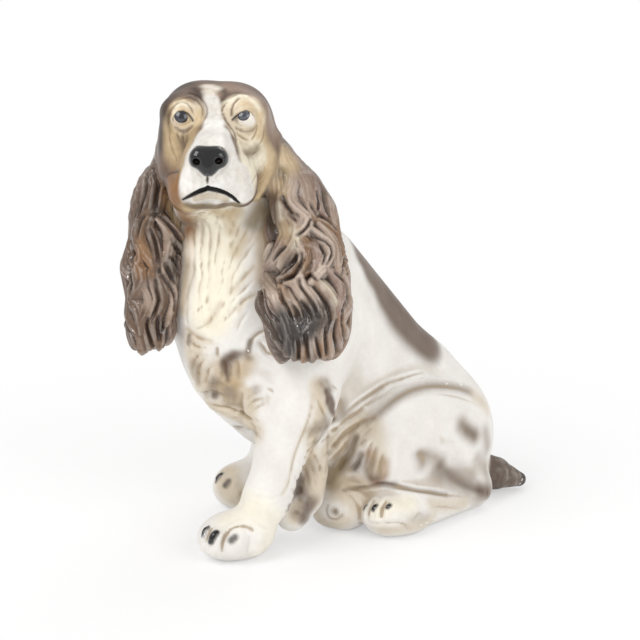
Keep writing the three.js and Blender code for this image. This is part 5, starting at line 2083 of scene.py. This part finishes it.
@dataclass
class Castings:
    """Turns the dressed skins into one visible piece for each casting."""

    shift: Array

    def piece(self, skin: Skin, faces: Array, part: Part) -> None:
        """Makes the piece of one casting, riding on the root body.

        Args:
            skin: The dressed skin.
            faces: The faces of the skin that belong to the casting.
            part: The casting.
        """
        used, quads = np.unique(faces, return_inverse=True)
        mesh = bpy.data.meshes.new("painted_" + part.value)
        mesh.from_pydata((skin.points[used] + self.shift) / PER_METRE, [], quads.reshape(-1, 4))
        rgba = np.ones((len(used), 4), np.float32)
        rgba[:, :3] = skin.colour[used]
        mesh.attributes.new("paint", "FLOAT_COLOR", "POINT").data.foreach_set("color", rgba.ravel())
        for name in ("hollow", "wear", "gloss"):
            held = getattr(skin, name)[used].astype(np.float32)
            mesh.attributes.new(name, "FLOAT", "POINT").data.foreach_set("value", held)
        mesh.polygons.foreach_set("use_smooth", np.ones(len(mesh.polygons), bool))
        mesh.normals_split_custom_set_from_vertices(skin.normals[used])
        finish, slot = FINISHES[part]
        mesh.materials.append(finish.material())
        made = bpy.data.objects.new(mesh.name, mesh)
        bpy.context.scene.collection.objects.link(made)
        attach(made, "root")
        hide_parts(part.value)
        LOG.info("%s: %d points, %d faces", made.name, len(used), len(faces))

    def divide(self, skin: Skin, kinds: Array) -> None:
        """Makes all pieces of a skin."""
        for part in Part:
            faces = skin.quads[kinds == part.number]
            if len(faces):
                self.piece(skin, faces, part)


@dataclass
class Eye:
    """A painted eyeball set in its socket, which looks towards a point of the reference view."""

    node: str
    gaze: tuple[float, float]
    finish: EyeFinish
    segments: int = 64
    rings: int = 40

    def build(self, head: Head, spot: Point, shift: Array) -> None:
        """Makes the eyeball, riding on the root body.

        Args:
            head: The head that carries it.
            spot: Its centre in the head's frame.
            shift: From the sculptor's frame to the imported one.
        """
        radius = head.eye_radius / PER_METRE
        ball = Ball(tuple(head.world([spot])[0]), (head.eye_radius,) * 3, 1.0)
        looks_at = VIEW.land(np.array([self.gaze]), ball.distance)[0]
        bpy.ops.mesh.primitive_uv_sphere_add(segments=self.segments, ring_count=self.rings, radius=radius)
        made = bpy.context.active_object
        made.name = made.data.name = "painted_" + self.node
        made.location = (np.array(ball.centre) + shift) / PER_METRE
        made.rotation_euler = Vector(looks_at - np.array(ball.centre)).to_track_quat("Z", "Y").to_euler()
        made.data.polygons.foreach_set("use_smooth", np.ones(len(made.data.polygons), bool))
        made.data.materials.append(self.finish.material(radius))
        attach(made, "root")
        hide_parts(self.node)
        LOG.info("%s", made.name)


@dataclass(frozen=True)
class Lamp:
    """A square lamp: where it hangs and how wide it is, in metres, and its power."""

    place: Point
    size: float
    watts: float


@dataclass
class Studio:
    """Pale floor, soft lamps and white surroundings, in metres."""

    floor_half: float = 12.0
    floor_drop: float = 0.0004
    floor_card: Rgb = (250, 250, 250)
    shadow_near: float = 0.26
    shadow_far: float = 0.62
    shadow_strength: float = 0.55
    surround: float = 0.62
    aim: Point = (0.0, 0.0, 0.22)
    # Three wide lamps, then two small ones for the highlights.
    lamps: tuple[Lamp, ...] = (
        Lamp((0.2, -2.2, 2.3), size=1.6, watts=34.0),
        Lamp((2.4, 0.3, 1.5), size=1.8, watts=20.0),
        Lamp((-0.6, 1.6, 2.4), size=1.6, watts=12.0),
        Lamp((0.75, -1.9, 1.4), size=0.08, watts=0.9),
        Lamp((1.96, -0.13, 1.4), size=0.08, watts=0.8),
    )

    def build(self) -> None:
        """Sets the studio up."""
        half = self.floor_half
        corners = [(-half, -half, 0), (half, -half, 0), (half, half, 0), (-half, half, 0)]
        mesh = bpy.data.meshes.new("floor")
        mesh.from_pydata(corners, [], [(0, 1, 2, 3)])
        mesh.materials.append(self.floor_material())
        floor = bpy.data.objects.new("floor", mesh)
        floor.location.z = -self.floor_drop
        bpy.context.scene.collection.objects.link(floor)
        for number, lamp in enumerate(self.lamps):
            data = bpy.data.lights.new(f"lamp_{number}", "AREA")
            data.size, data.energy = lamp.size, lamp.watts
            made = bpy.data.objects.new(data.name, data)
            made.location = lamp.place
            made.rotation_euler = (Vector(self.aim) - made.location).to_track_quat("-Z", "Y").to_euler()
            bpy.context.scene.collection.objects.link(made)
        self.surround_white()
        bpy.context.scene.view_settings.view_transform = "Standard"

    def floor_material(self) -> bpy.types.Material:
        """White card that keeps the shadow close to the object and is lost in white further out."""
        made, graph = new_material("floor_card")
        graph.tree.nodes.clear()
        spot = graph.put("TexCoord").outputs["Object"]
        away = graph.put("VectorMath", {0: spot}, operation="LENGTH").outputs["Value"]
        uneven = graph.span(graph.noise(scale=3.0), low=0.3, high=0.7, to_low=-0.02, to_high=0.02)
        least = 1.0 - self.shadow_strength
        lost = graph.span(graph.plus(away, uneven), self.shadow_near, self.shadow_far, least, 1.0)
        path = graph.put("LightPath").outputs
        through = graph.maths("MAXIMUM", path["Is Glossy Ray"], path["Is Transmission Ray"])
        seen = graph.maths("MAXIMUM", path["Is Camera Ray"], through)
        card = graph.put("BsdfDiffuse", {"Color": opaque(self.floor_card)}).outputs[0]
        glow = graph.put("Emission", {"Color": FULL_WHITE, "Strength": 1.0}).outputs[0]
        both_ways = graph.put("MixShader", {0: graph.times(seen, lost), 1: card, 2: glow})
        graph.put("OutputMaterial", {"Surface": both_ways.outputs[0]})
        return made

    def surround_white(self) -> None:
        """White all round: full for what the camera sees, softer as light."""
        world = bpy.data.worlds.new("white_room")
        bpy.context.scene.world = world
        world.use_nodes = True
        graph = Graph(world.node_tree)
        graph.tree.nodes.clear()
        path = graph.put("LightPath").outputs
        seen = graph.maths("MAXIMUM", path["Is Camera Ray"], path["Is Transmission Ray"])
        full = graph.put("Background", {"Color": FULL_WHITE, "Strength": 1.0}).outputs[0]
        soft = graph.put("Background", {"Color": FULL_WHITE, "Strength": self.surround}).outputs[0]
        both_ways = graph.put("MixShader", {0: seen, 1: soft, 2: full})
        graph.put("OutputWorld", {"Surface": both_ways.outputs[0]})


def show_hidden(nodes: dict[str, bpy.types.Object]) -> None:
    """Gives the sleeve, rods and pins inside the castings their own materials."""
    board, wire = BOARD_FINISH.material(), WIRE_FINISH.material()
    for name, node in nodes.items():
        if node.hide_render:
            continue
        node.data.materials.clear()
        node.data.materials.append(board if name == "neck_sleeve" else wire)
        LOG.info("%s keeps its packed shape", name)


def main() -> None:
    """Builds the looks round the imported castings."""
    logging.basicConfig(level=logging.INFO, format="%(message)s")
    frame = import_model()
    statue = Statue()
    low, high = (np.array(corner) * PER_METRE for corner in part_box("left_eye"))
    shift = (low + high) / 2.0 - statue.head.world(statue.head.eye_spots()[:1])[0]
    castings = Castings(shift)
    castings.divide(*statue.dress_body())
    castings.divide(*statue.dress_head())
    eyes = (
        Eye("left_eye", gaze=(243.2, 114.0), finish=LEFT_EYE_FINISH),
        Eye("right_eye", gaze=(181.6, 115.0), finish=RIGHT_EYE_FINISH),
    )
    for eye, spot in zip(eyes, statue.head.eye_spots()):
        eye.build(statue.head, spot, shift)
    show_hidden(frame["nodes"])
    Studio().build()
    VIEW.stand_camera(shift)


if __name__ == "__main__":
    main()
